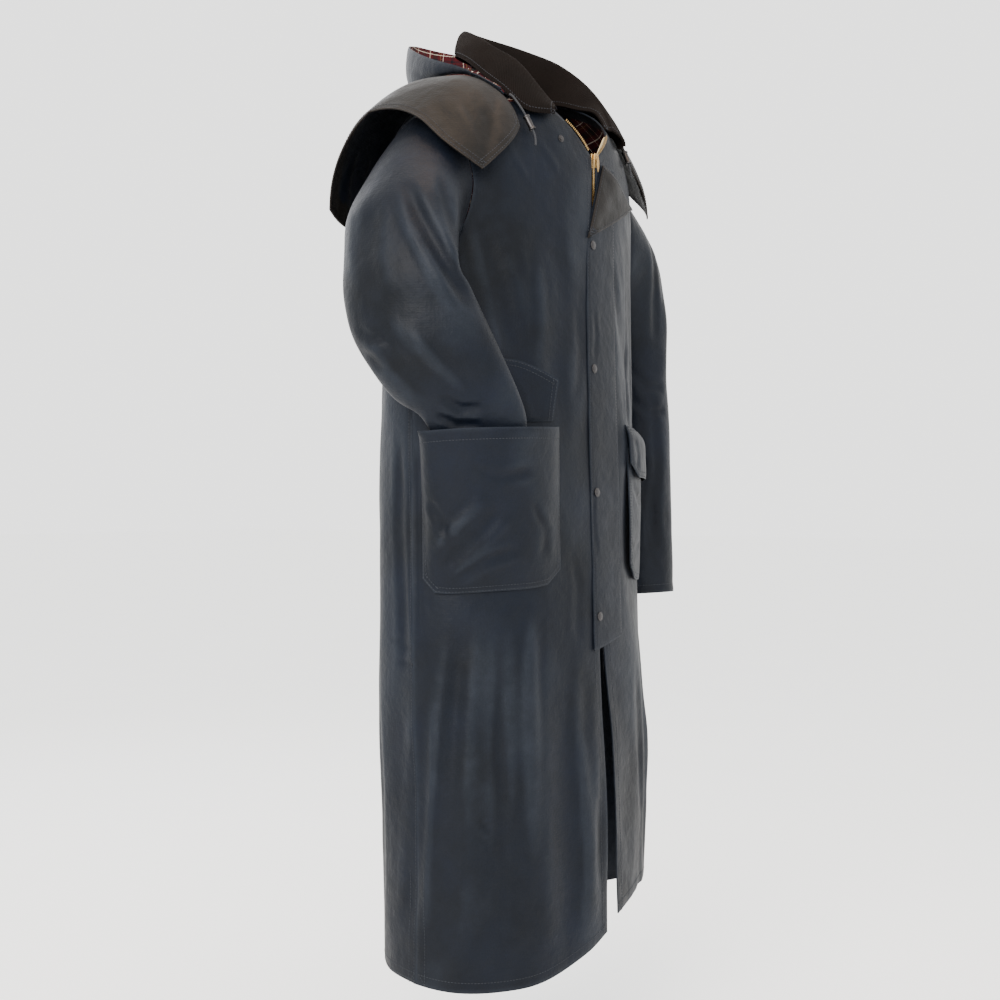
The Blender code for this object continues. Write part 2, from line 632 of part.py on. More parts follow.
def sheet_over(name, grid, thick, material, away, gap=0.0, both_sides=False):
    """A wall of the given thickness whose inner face is a grid of points moved out by a gap."""
    normals = grid_normals(grid, False, away)
    inner = [[p + n * gap for p, n in zip(line, ns)] for line, ns in zip(grid, normals)]
    outer = [[p + n * (gap + thick) for p, n in zip(line, ns)] for line, ns in zip(grid, normals)]
    return solid_from_grids(name, outer, inner, material)


def neckline_point(around):
    """A point of the neck seam, and the way out of the body cloth there."""
    side = -1 if around < 0 else 1
    part = abs(around)
    if part > 0.45:
        return panel_point(side, -1, 0.0, 1.0 - 0.22 * (part - 0.45) / 0.55)
    return panel_point(side, 1, 0.0, 0.70 + 0.30 * part / 0.45)


def collar(material, body):
    """A corduroy band from the neck seam up to its roll and down to its fall edge."""
    grid = []
    for i in range(COLLAR_COLUMNS + 1):
        around = -1 + 2 * i / COLLAR_COLUMNS
        seam, out = neckline_point(around)
        seam = seam.lerp(Vector((0, -0.02, seam.z)), 0.035) + Vector((0, 0, 0.0040))
        roll = Vector([read(COLLAR, around, f"roll_{axis}") for axis in "xyz"])
        edge = Vector([read(COLLAR, around, f"edge_{axis}") for axis in "xyz"])
        outward = (edge - roll)
        outward.z = 0.0
        outward.normalize()
        line = [seam, seam.lerp(roll, 0.5) - outward * 0.001]
        for turn in (-60, 0, 60):
            angle = math.radians(turn)
            centre = roll + outward * COLLAR_ROLL - Vector((0, 0, COLLAR_ROLL))
            line.append(centre + outward * COLLAR_ROLL * math.sin(angle)
                        + Vector((0, 0, COLLAR_ROLL * math.cos(angle))))
        start = line[-1]
        for share in (0.35, 0.70, 1.0):
            place = start.lerp(edge, share) + outward * 0.006 * math.sin(math.pi * share)
            line.append(body.clear(place, LIES_OVER))
        grid.append(line)
    neck = Vector((0, -0.02, 0))

    def away(p, i, j):
        flat = Vector((p.x - neck.x, p.y - neck.y, 0)).normalized()
        if j < 3:
            return Vector((0, 0, 1)) - flat * 0.5
        return flat if j > 3 else flat * 0.2 + Vector((0, 0, 1))

    return sheet_over("collar", grid, CORD_CLOTH, material, away)


def hood_line(around):
    """The hood's section from its neck edge, down round the bag and up to the rim."""
    neck, low, rim = (
        Vector([read(HOOD, around, f"{place}_{axis}") for axis in "xyz"]) for place in ("neck", "low", "rim")
    )
    points = [neck]
    for share in (0.3, 0.6, 0.85):
        points.append(neck.lerp(low, share) + Vector((0, 0, -0.004 * math.sin(math.pi * share))))
    points.append(low + (rim - low) * 0.06 + (low - neck) * 0.10)
    for share in (0.28, 0.52, 0.76, 1.0):
        swell = 0.010 * math.sin(math.pi * share) * min(1.0, (rim - low).length / 0.05)
        points.append(low.lerp(rim, share) + (low - neck).normalized() * swell)
    return points


def hood(cloth, lining, body):
    """The hood's outer cloth, and the tartan lining inside it; returns the cloth's outer face."""
    grid = [hood_line(-1 + 2 * i / HOOD_COLUMNS) for i in range(HOOD_COLUMNS + 1)]
    grid = [[body.clear(p, LIES_OVER + WALL + 0.0003) for p in line] for line in grid]
    normals = grid_normals(grid, False, lambda p, i, j: hood_out(grid, i, j))
    shell_in = [[p + n * 0.0001 for p, n in zip(line, ns)] for line, ns in zip(grid, normals)]
    shell_out = [[p + n * (0.0001 + WALL) for p, n in zip(line, ns)] for line, ns in zip(grid, normals)]
    lining_out = [[p - n * 0.0003 for p, n in zip(line, ns)] for line, ns in zip(grid, normals)]
    lining_in = [[p - n * (0.0003 + THIN) for p, n in zip(line, ns)] for line, ns in zip(grid, normals)]
    solid_from_grids("hood", shell_out, shell_in, cloth)
    solid_from_grids("hood_lining", lining_out, lining_in, lining)
    return shell_out, normals, False


def hood_out(grid, i, j):
    """Down under the bag and back behind it."""
    line = grid[i]
    across = line[4] - line[0]
    across.z = 0.0
    across.normalize()
    return Vector((0, 0, -1)) if j < 4 else across


def cape_place(around):
    """Top, lower edge and swell of the cape; around runs from -1 at the right front to 1."""
    side = -1 if around < 0 else 1
    at = 1 - abs(around)
    place = {name: read(CAPE, at, name) for name in CapeStation._fields[1:]}
    top = Vector((side * place["top_x"], place["top_y"], place["top_z"]))
    edge = Vector((side * place["edge_x"], place["edge_y"], place["edge_z"]))
    return top, edge, Vector((0, place["swell_y"], place["swell_z"]))


def cape(material, body, bag):
    """The lower part of the hood, which lies on the shoulders; returns its outer face."""
    grid = []
    for i in range(2 * CAPE_COLUMNS + 1):
        top, edge, swell = cape_place(-1 + i / CAPE_COLUMNS)
        line = []
        for j in range(CAPE_ROWS + 1):
            share = j / CAPE_ROWS
            place = top.lerp(edge, share) + swell * math.sin(math.pi * share ** 0.85)
            line.append(body.clear(bag.clear(place, 2 * LIES_OVER, 0.012), LIES_OVER))
        grid.append(line)
    sheet_over("hood_cape", grid, WALL, material, lambda p, i, j: Vector((p.x, p.y, 0.12)))


def neck_lining(material):
    """Tartan lining inside the neck, the backs and the tops of the fronts, at the panels' own points."""
    for side, word in ((-1, "right"), (1, "left")):
        for face, where in ((-1, "front"), (1, "back")):
            outer, inner = [], []
            for up in UPPER_ROWS[2:-1]:
                line = []
                for j in range(1 if face < 0 else 0, 6):
                    p, out = panel_point(side, face, max(j / BODY_COLUMNS, 0.002), up)
                    line.append((p - out * (WALL + LINING_GAP), p - out * (WALL + LINING_GAP + THIN)))
                outer.append([pair[0] for pair in line])
                inner.append([pair[1] for pair in line])
            solid_from_grids(f"neck_lining_{where}_{word}", outer, inner, material)


def front_point(x, z, lift):
    """A point in front of the closed fronts, lifted off their cloth."""
    point, out = on_body(x, z, -1)
    return point + out * lift


def storm_flap(material, fronts):
    """The strip over the zip, with its top corner turned back onto the left chest."""
    low, high = [], []
    rows = [FLAP_END_Z + (FLAP_TURN_Z - FLAP_END_Z) * i / 12 for i in range(13)]
    rows += [FLAP_TURN_Z + (FLAP_TURN_TOP[1] - FLAP_TURN_Z) * i / 4 for i in range(1, 5)]
    for z in rows:
        turned = max(0.0, (z - FLAP_TURN_Z) / (FLAP_TURN_TOP[1] - FLAP_TURN_Z))
        free = FLAP_FREE_X + (FLAP_TURN_TOP[0] - FLAP_FREE_X) * turned
        below = 0.016 * max(0.0, 1 - (z - FLAP_END_Z) / 0.05)
        places = [(free + (FLAP_SEAM_X - free) * j / 5, z - below * (1 - j / 5)) for j in range(6)]
        low.append([fronts.clear(front_point(x, z, LAID), LIES_OVER) for x, z in places])
        high.append([p + on_body(x, z, -1)[1] * WALL for p, (x, z) in zip(low[-1], places)])
    solid_from_grids("storm_flap", high, low, material)
    low, high = [], []
    for i in range(7):
        share = i / 6
        fold_x = FLAP_FREE_X + (FLAP_TURN_TOP[0] - FLAP_FREE_X) * share
        fold_z = FLAP_TURN_Z + (FLAP_TURN_TOP[1] - FLAP_TURN_Z) * share
        tip_x = FLAP_FREE_X + (LAPEL_CORNER[0] - FLAP_FREE_X) * share
        tip_z = FLAP_TURN_Z + (LAPEL_CORNER[1] - FLAP_TURN_Z) * share
        line_low, line_high = [], []
        for j in range(8):
            across = j / 7
            bend = 0.0045 * math.sin(math.pi * min(1.0, across * 1.6)) * share
            x = fold_x + (tip_x - fold_x) * across
            z = fold_z + (tip_z - fold_z) * across
            if not i:
                x += 0.009 * across
                z += 0.004 * across
            lift = LIES_OVER + 2 * LAID + WALL + bend + 0.004 * share * across ** 3
            line_low.append(front_point(x, z, lift))
            line_high.append(front_point(x, z, lift + WALL))
        low.append(line_low)
        high.append(line_high)
    solid_from_grids("storm_flap_lapel", high, low, material)


def pocket_place(side, u, v):
    """A place on the front for a pocket: u from the rear edge to the front one, v from the bottom up."""
    around = POCKET_REAR + (POCKET_FRONT - POCKET_REAR) * u
    top = POCKET_TOP_Z + POCKET_SLANT * u
    z = top - POCKET_DEPTH * (1 - v)
    return side * read(SECTIONS, z, "half_width") * math.sin(math.radians(around)), z


def pocket(name, side, full, fronts, material, holds=None):
    """A patch pocket sewn at its sides and bottom, open at its mouth."""
    columns, rows = 10, 8
    outer, inner = [], []
    for i in range(rows + 1):
        v = i / rows
        line_out, line_in = [], []
        for j in range(columns + 1):
            u = j / columns
            corner = POCKET_CHAMFER / POCKET_DEPTH
            low = max(0.0, corner - min(u, 1 - u) * 0.9)
            held_v = low + (1 - low) * v
            x, z = pocket_place(side, u, held_v)
            point, out = on_body(x, z, -1)
            arch = math.sin(math.pi * u ** 0.75) ** 0.5 if 0 < u < 1 else 0.0
            fullness = full * arch * (0.10 + 0.90 * v) * min(1.0, v / 0.12)
            seat = fronts.clear(point + out * (LAID + fullness), LIES_OVER)
            if holds:
                seat = holds.clear(seat, 0.0018, 0.02)
            line_in.append(seat)
            line_out.append(seat + out * WALL)
        outer.append(line_out)
        inner.append(line_in)
    solid_from_grids(name, outer, inner, material)


def pocket_flap_up(material):
    """The right pocket's flap, standing up against the front behind the sleeve."""
    outer, inner = [], []
    for i in range(5):
        v = i / 4
        line_out, line_in = [], []
        for j in range(9):
            u = 0.10 + 0.86 * j / 8
            chamfer = 0.35 * max(0.0, (u - 0.72) / 0.24)
            x, z = pocket_place(-1, u, 1.045)
            z += FLAP_HEIGHT * v * (1 - chamfer)
            point, out = on_body(x, z, -1)
            lean = 0.012 * v * max(0.0, min(1.0, (u - 0.66) / 0.3))
            line_in.append(point + out * (LIES_OVER + lean))
            line_out.append(point + out * (LIES_OVER + lean + WALL))
        outer.append(line_out)
        inner.append(line_in)
    solid_from_grids("pocket_flap_right", outer, inner, material)


def pocket_flap_down(material):
    """The left pocket's flap, sewn above the mouth and lying down over it."""
    outer, inner = [], []
    for i in range(6):
        v = i / 5
        line_out, line_in = [], []
        for j in range(9):
            u = -0.01 + 1.02 * j / 8
            chamfer = 0.25 * max(0.0, (abs(u - 0.5) - 0.40) / 0.11)
            x, z = pocket_place(1, u, 1.06)
            z -= (FLAP_HEIGHT - 0.010) * v * (1 - chamfer * v)
            point, out = on_body(x, z, -1)
            held = min(1.0, max(0.0, u))
            arch = math.sin(math.pi * held) ** 0.5 if 0 < held < 1 else 0.0
            over = POCKET_FLAT * arch + 2 * LIES_OVER + WALL
            lift = LIES_OVER + (over + 0.002) * min(1.0, v / 0.20)
            line_in.append(point + out * lift)
            line_out.append(point + out * (lift + WALL))
        outer.append(line_out)
        inner.append(line_in)
    solid_from_grids("pocket_flap_left", outer, inner, material)


def edge_ups():
    """Places along a front's edge from the zip's lower end to the neck seam."""
    low = (FLAP_END_Z + 0.006 - UNDERARM_Z) / 0.93
    return [low + (0 - low) * i / 8 for i in range(9)] + [0.28, 0.55, 0.66, 0.75]


def zip_tapes(tape, brass, inside):
    """Tapes inside the fronts' edges, and their rows of teeth above the slider."""
    for side, word in ((-1, "right"), (1, "left")):
        outer, inner = [], []
        for up in edge_ups():
            over = TAPE_OVER if up > 0.56 else -0.0015 if up > 0.5 else 0.0010
            line = []
            for s in (0.065, 0.035, 0.0):
                p, out = panel_point(side, -1, s, up)
                seat = inside.clear(p - out * (WALL + LAID), 1.5 * LIES_OVER, 0.004)
                line.append((seat, seat - out * THIN))
            toward = (line[2][0] - line[1][0]).normalized() * over
            line[2] = (line[2][0] + toward, line[2][1] + toward)
            outer.append([a for a, b in line])
            inner.append([b for a, b in line])
        solid_from_grids(f"zip_tape_{word}", outer, inner, tape)
        teeth_low, teeth_high = [], []
        for i in range(6):
            up = 0.585 + (0.742 - 0.585) * i / 5
            p, out = panel_point(side, -1, 0.0, up)
            q, more = panel_point(side, -1, 0.05, up)
            toward = (p - q).normalized()
            base = p - out * (WALL + LAID) + toward * 0.0003
            lift = out * 0.0001
            edge = base + toward * (TAPE_OVER - 0.0006)
            teeth_low.append([base + lift, edge + lift])
            teeth_high.append([base + lift + out * 0.0016, edge + lift + out * 0.0016])
        solid_from_grids(f"zip_teeth_{word}", teeth_high, teeth_low, brass)


def box_along(name, rows, wide, thick, material):
    """A bar of rectangular section through points on the centre front."""
    half = Vector((wide / 2, 0, 0))
    deep = Vector((0, thick / 2, 0))
    outer = [[p - half - deep, p + half - deep] for p in rows]
    inner = [[p - half + deep, p + half + deep] for p in rows]
    return solid_from_grids(name, outer, inner, material)


def closed_zip(brass):
    """The closed row of teeth, the slider and its hinged pull."""
    bottom, top = FLAP_END_Z + 0.004, -0.1495
    rows = []
    for i in range(13):
        z = bottom + (top - bottom) * i / 12
        rows.append(Vector((0, body_surface(0, z, -1) + WALL / 2 + 0.0005, z)))
    box_along("zip_teeth_closed", rows, TEETH_WIDE, TEETH_THICK, brass)
    wide, deep, tall = SLIDER
    top_z = top + 0.0004 + tall
    y = body_surface(0, ZIP_TOP_Z, -1)
    profile = ((0.0, 0.55), (0.30, 0.80), (0.75, 1.0), (1.0, 0.92))
    outer, inner = [], []
    for share, part in profile:
        z = top + 0.0004 + tall * share
        outer.append([Vector((-wide / 2 * part, y - deep * 0.62, z)), Vector((wide / 2 * part, y - deep * 0.62, z))])
        inner.append([Vector((-wide / 2 * part, y + deep * 0.38, z)), Vector((wide / 2 * part, y + deep * 0.38, z))])
    solid_from_grids("zip_slider", outer, inner, brass)
    pull_wide, pull_thick, pull_long = PULL
    hinge = Vector((0, y - deep * 0.62 - LAID - pull_thick / 2 - 0.0004, top_z - 0.006))
    mesh = bmesh.new()
    outline = []
    for k in range(12):
        angle = math.pi * k / 11
        outline.append((pull_wide / 2 * math.cos(angle), pull_wide * 0.10 * math.sin(angle)))
    outline += [(-pull_wide * 0.42, -pull_long + 0.002), (-pull_wide * 0.30, -pull_long)]
    outline += [(pull_wide * 0.30, -pull_long), (pull_wide * 0.42, -pull_long + 0.002)]
    front = [mesh.verts.new(Vector((x, -pull_thick / 2, z))) for x, z in outline]
    back = [mesh.verts.new(Vector((x, pull_thick / 2, z))) for x, z in outline]
    mesh.faces.new(front)
    mesh.faces.new(back[::-1])
    for k in range(len(front)):
        n = (k + 1) % len(front)
        mesh.faces.new((front[k], back[k], back[n], front[n]))
    pull = finish("zip_pull", mesh, brass)
    pull.location = hinge
    return pull


def disc(name, centre, out, radius, thick, material, sides=14):
    """A low domed disc standing on a surface."""
    mesh = bmesh.new()
    turn = Vector((0, 0, 1)).rotation_difference(out).to_matrix()
    levels = ((0.0, 1.0), (0.55, 1.0), (1.0, 0.72))
    rings = []
    for height, part in levels:
        ring = []
        for k in range(sides):
            angle = 2 * math.pi * k / sides
            spot = Vector((radius * part * math.cos(angle), radius * part * math.sin(angle), thick * height))
            ring.append(mesh.verts.new(centre + turn @ spot))
        rings.append(ring)
    for low, high in zip(rings, rings[1:]):
        for k in range(sides):
            n = (k + 1) % sides
            mesh.faces.new((low[k], low[n], high[n], high[k]))
    mesh.faces.new(rings[0][::-1])
    mesh.faces.new(rings[-1])
    return finish(name, mesh, material)


def snaps(material):
    """Four closed snaps on the flap, and the open one by the collar."""
    for count, z in enumerate(SNAP_HEIGHTS, 1):
        point, out = on_body(SNAP_X, z, -1)
        seat = point + out * (LIES_OVER + LAID + WALL)
        disc(f"snap_{count}", seat, out, SNAP_RADIUS, 0.0022, material)
    point, out = on_body(*OPEN_SNAP, -1)
    disc("snap_open", point + out * LAID, out, 0.0050, 0.0024, material)


def cord_piece(name, points, material):
    """A stretch of cord as a curve with a round section."""
    line = smooth_line(points, 10)
    curve = bpy.data.curves.new(name, "CURVE")
    curve.dimensions = "3D"
    curve.bevel_depth = CORD_DIAMETER / 2
    curve.bevel_resolution = 2
    curve.use_fill_caps = True
    spline = curve.splines.new("POLY")
    spline.points.add(len(line) - 1)
    for spot, place in zip(spline.points, line):
        spot.co = (*place, 1.0)
    curve.materials.append(material)
    made = bpy.data.objects.new(name, curve)
    bpy.context.scene.collection.objects.link(made)
    return made


def smooth_line(points, count):
    """Points on a smooth curve through the route's own points."""
    Place = namedtuple("Place", "at x y z")
    rows = [Place(k, *point) for k, point in enumerate(points)]
    last = len(points) - 1
    return [
        Vector([read(rows, last * k / (count - 1), axis) for axis in "xyz"]) for k in range(count)
    ]


def toggle(name, start, end, material):
    """A cord lock: a short barrel along the cord."""
    mesh = bmesh.new()
    run = end - start
    turn = Vector((0, 0, 1)).rotation_difference(run.normalized()).to_matrix()
    sides = 12
    rings = []
    for share, part in ((0.0, 0.75), (0.12, 1.0), (0.88, 1.0), (1.0, 0.75)):
        ring = []
        for k in range(sides):
            angle = 2 * math.pi * k / sides
            spot = Vector((TOGGLE_RADIUS * part * math.cos(angle), TOGGLE_RADIUS * part * math.sin(angle), 0))
            ring.append(mesh.verts.new(start + run * share + turn @ spot))
        rings.append(ring)
    for low, high in zip(rings, rings[1:]):
        for k in range(sides):
            n = (k + 1) % sides
            mesh.faces.new((low[k], low[n], high[n], high[k]))
    mesh.faces.new(rings[0][::-1])
    mesh.faces.new(rings[-1])
    return finish(name, mesh, material)


def hood_cords(cord, metal):
    """On each side the cord out of the hood's rim, its toggle, and the short free end."""
    for side, word in ((-1, "right"), (1, "left")):
        first = [Vector((-side * x, y, z)) for x, y, z in CORD_RIGHT]
        free = [Vector((-side * x, y, z)) for x, y, z in CORD_END]
        cord_piece(f"hood_cord_{word}", first, cord)
        cord_piece(f"hood_cord_end_{word}", free, cord)
        start = first[-1] + (free[0] - first[-1]).normalized() * SEAM
        end = free[0] - (free[0] - first[-1]).normalized() * SEAM
        toggle(f"toggle_{word}", start, end, metal)


def build():
    clear_scene()
    made = make_materials()
    cloth = made["waxed cotton"]
    outsides, insides = {}, {}
    for side, word in ((-1, "right"), (1, "left")):
        for face, where in ((-1, "front"), (1, "back")):
            name = f"{where}_{word}"
            outsides[name], insides[name] = panel(name, side, face, cloth)
    body = Cover(*outsides.values())
    fronts = Cover(outsides["front_right"], outsides["front_left"])
    inside = Cover(insides["front_right"], insides["front_left"])
    right = sleeve("sleeve_right", -1, SLEEVE_RIGHT, FOLDS_RIGHT, body, cloth)
    left = sleeve("sleeve_left", 1, SLEEVE_LEFT, FOLDS_LEFT, body, cloth)
    collar(made["corduroy"], body)
    neck_lining(made["tartan"])
    bag = hood(cloth, made["tartan"], body)
    cape(cloth, Cover(*outsides.values(), right, left), Cover(bag))
    storm_flap(cloth, fronts)
    pocket("pocket_right", -1, POCKET_FULL, fronts, cloth, holds=Cover(right))
    pocket("pocket_left", 1, POCKET_FLAT, fronts, cloth)
    pocket_flap_up(cloth)
    pocket_flap_down(cloth)
    zip_tapes(made["zip tape"], made["brass"], inside)
    closed_zip(made["brass"])
    snaps(made["gunmetal"])
    hood_cords(made["cord"], made["gunmetal"])


build()
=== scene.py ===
import math
from collections import namedtuple

import bmesh
import bpy
import numpy as np
from mathutils import Matrix, Vector
from mathutils.bvhtree import BVHTree
from mathutils.kdtree import KDTree


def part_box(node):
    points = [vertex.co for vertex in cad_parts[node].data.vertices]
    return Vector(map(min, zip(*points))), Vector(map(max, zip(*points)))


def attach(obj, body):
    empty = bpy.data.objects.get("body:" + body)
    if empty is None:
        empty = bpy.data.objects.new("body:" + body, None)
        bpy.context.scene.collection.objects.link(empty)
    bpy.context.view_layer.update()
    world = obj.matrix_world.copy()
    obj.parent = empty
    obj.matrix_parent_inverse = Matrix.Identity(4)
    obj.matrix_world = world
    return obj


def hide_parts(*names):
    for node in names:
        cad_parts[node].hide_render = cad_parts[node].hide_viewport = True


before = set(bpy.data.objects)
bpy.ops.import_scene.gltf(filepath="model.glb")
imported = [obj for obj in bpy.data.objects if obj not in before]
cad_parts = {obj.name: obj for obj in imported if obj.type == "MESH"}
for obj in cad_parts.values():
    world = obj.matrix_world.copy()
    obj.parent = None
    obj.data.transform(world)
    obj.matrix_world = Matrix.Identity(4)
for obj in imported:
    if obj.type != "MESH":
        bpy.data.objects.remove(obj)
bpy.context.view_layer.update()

bl_info = {
    "name": "Long waxed coat",
    "version": (1, 0, 0),
    "blender": (4, 5, 0),
    "location": "3D View > Sidebar > Coat",
    "description": "Dresses a long waxed riding coat: cloth, linings, stitching, zip, snaps and cords",
    "category": "Add Mesh",
}

COAT = "coat"

# The view that the creases are drawn in: a level camera this far from the coat, in the photograph's frame.
VIEW_DISTANCE = 2.2
VIEW_LEVEL = -0.6125
VIEW_CENTRE = 511.0
VIEW_SCALE = 690.0
PHOTO_AZIMUTH = -55

# Each sewn piece of cloth. folds names its creases, hold is how far in from its sewn edge they fade out, and
# wide, long and area are its flat cut in metres. wall is its thickness and levels the subdivision.
Cloth = namedtuple("Cloth", "node folds hold wide long area finish inside wall levels held",
                   defaults=("waxed", "waxed", 0.0018, 3, "hung"))
LINING_CLOTH = ("tartan", "tartan", 0.0010)
TAPE_CLOTH = ("tape", "tape", 0.0010, 2, "stretched")
CLOTH = (
    Cloth("front_right", "body", 0.006, 0.40, 1.27, 0.370, inside="lined"),
    Cloth("front_left", "body", 0.006, 0.38, 1.25, 0.345, inside="lined"),
    Cloth("back_right", "body", 0.006, 0.39, 1.26, 0.380, inside="lined"),
    Cloth("back_left", "body", 0.006, 0.39, 1.25, 0.375, inside="lined"),
    Cloth("sleeve_right", "sleeve_right", 0.016, 0.46, 0.66, 0.230),
    Cloth("sleeve_left", "sleeve_left", 0.016, 0.46, 0.66, 0.262),
    Cloth("collar", "collar", 0.004, 0.52, 0.13, 0.060, "corduroy", "corduroy", 0.0026, held="folded"),
    Cloth("hood", "hood", 0.004, 0.42, 0.13, 0.047),
    Cloth("hood_lining", "hood", 0.004, 0.42, 0.12, 0.044, *LINING_CLOTH),
    # The cape here and the lapel below take the waxed cotton with painted warm sheen in its colour.
    Cloth("hood_cape", "cape", 0.004, 1.30, 0.24, 0.190, "waxed_painted_warm_sheen", held="draped"),
    Cloth("storm_flap", "flap", 0.004, 0.08, 0.68, 0.053),
    Cloth("storm_flap_lapel", "lapel", 0.002, 0.15, 0.13, 0.0074, "waxed_painted_warm_sheen", held="folded"),
    Cloth("pocket_right", "pocket_right", 0.010, 0.27, 0.22, 0.058),
    Cloth("pocket_left", "pocket_left", 0.010, 0.23, 0.22, 0.046),
    Cloth("pocket_flap_right", "flap_up", 0.004, 0.20, 0.09, 0.0155, held="folded"),
    Cloth("pocket_flap_left", "flap_down", 0.004, 0.22, 0.09, 0.0180),
    Cloth("neck_lining_front_right", "still", 0.0, 0.13, 0.12, 0.0126, *LINING_CLOTH),
    Cloth("neck_lining_front_left", "still", 0.0, 0.13, 0.12, 0.0126, *LINING_CLOTH),
    Cloth("neck_lining_back_right", "still", 0.0, 0.17, 0.16, 0.0220, *LINING_CLOTH),
    Cloth("neck_lining_back_left", "still", 0.0, 0.17, 0.16, 0.0220, *LINING_CLOTH),
    Cloth("zip_tape_right", "still", 0.0, 0.024, 0.72, 0.0172, *TAPE_CLOTH),
    Cloth("zip_tape_left", "still", 0.0, 0.024, 0.72, 0.0170, *TAPE_CLOTH),
)
OWN_CENTRE = {"sleeve_right", "sleeve_left", "hood", "hood_lining"}
RIM_SHARE = 1.25  # a solid's edge shorter than this many walls crosses the wall
CLOTH_SMOOTH = math.radians(50)

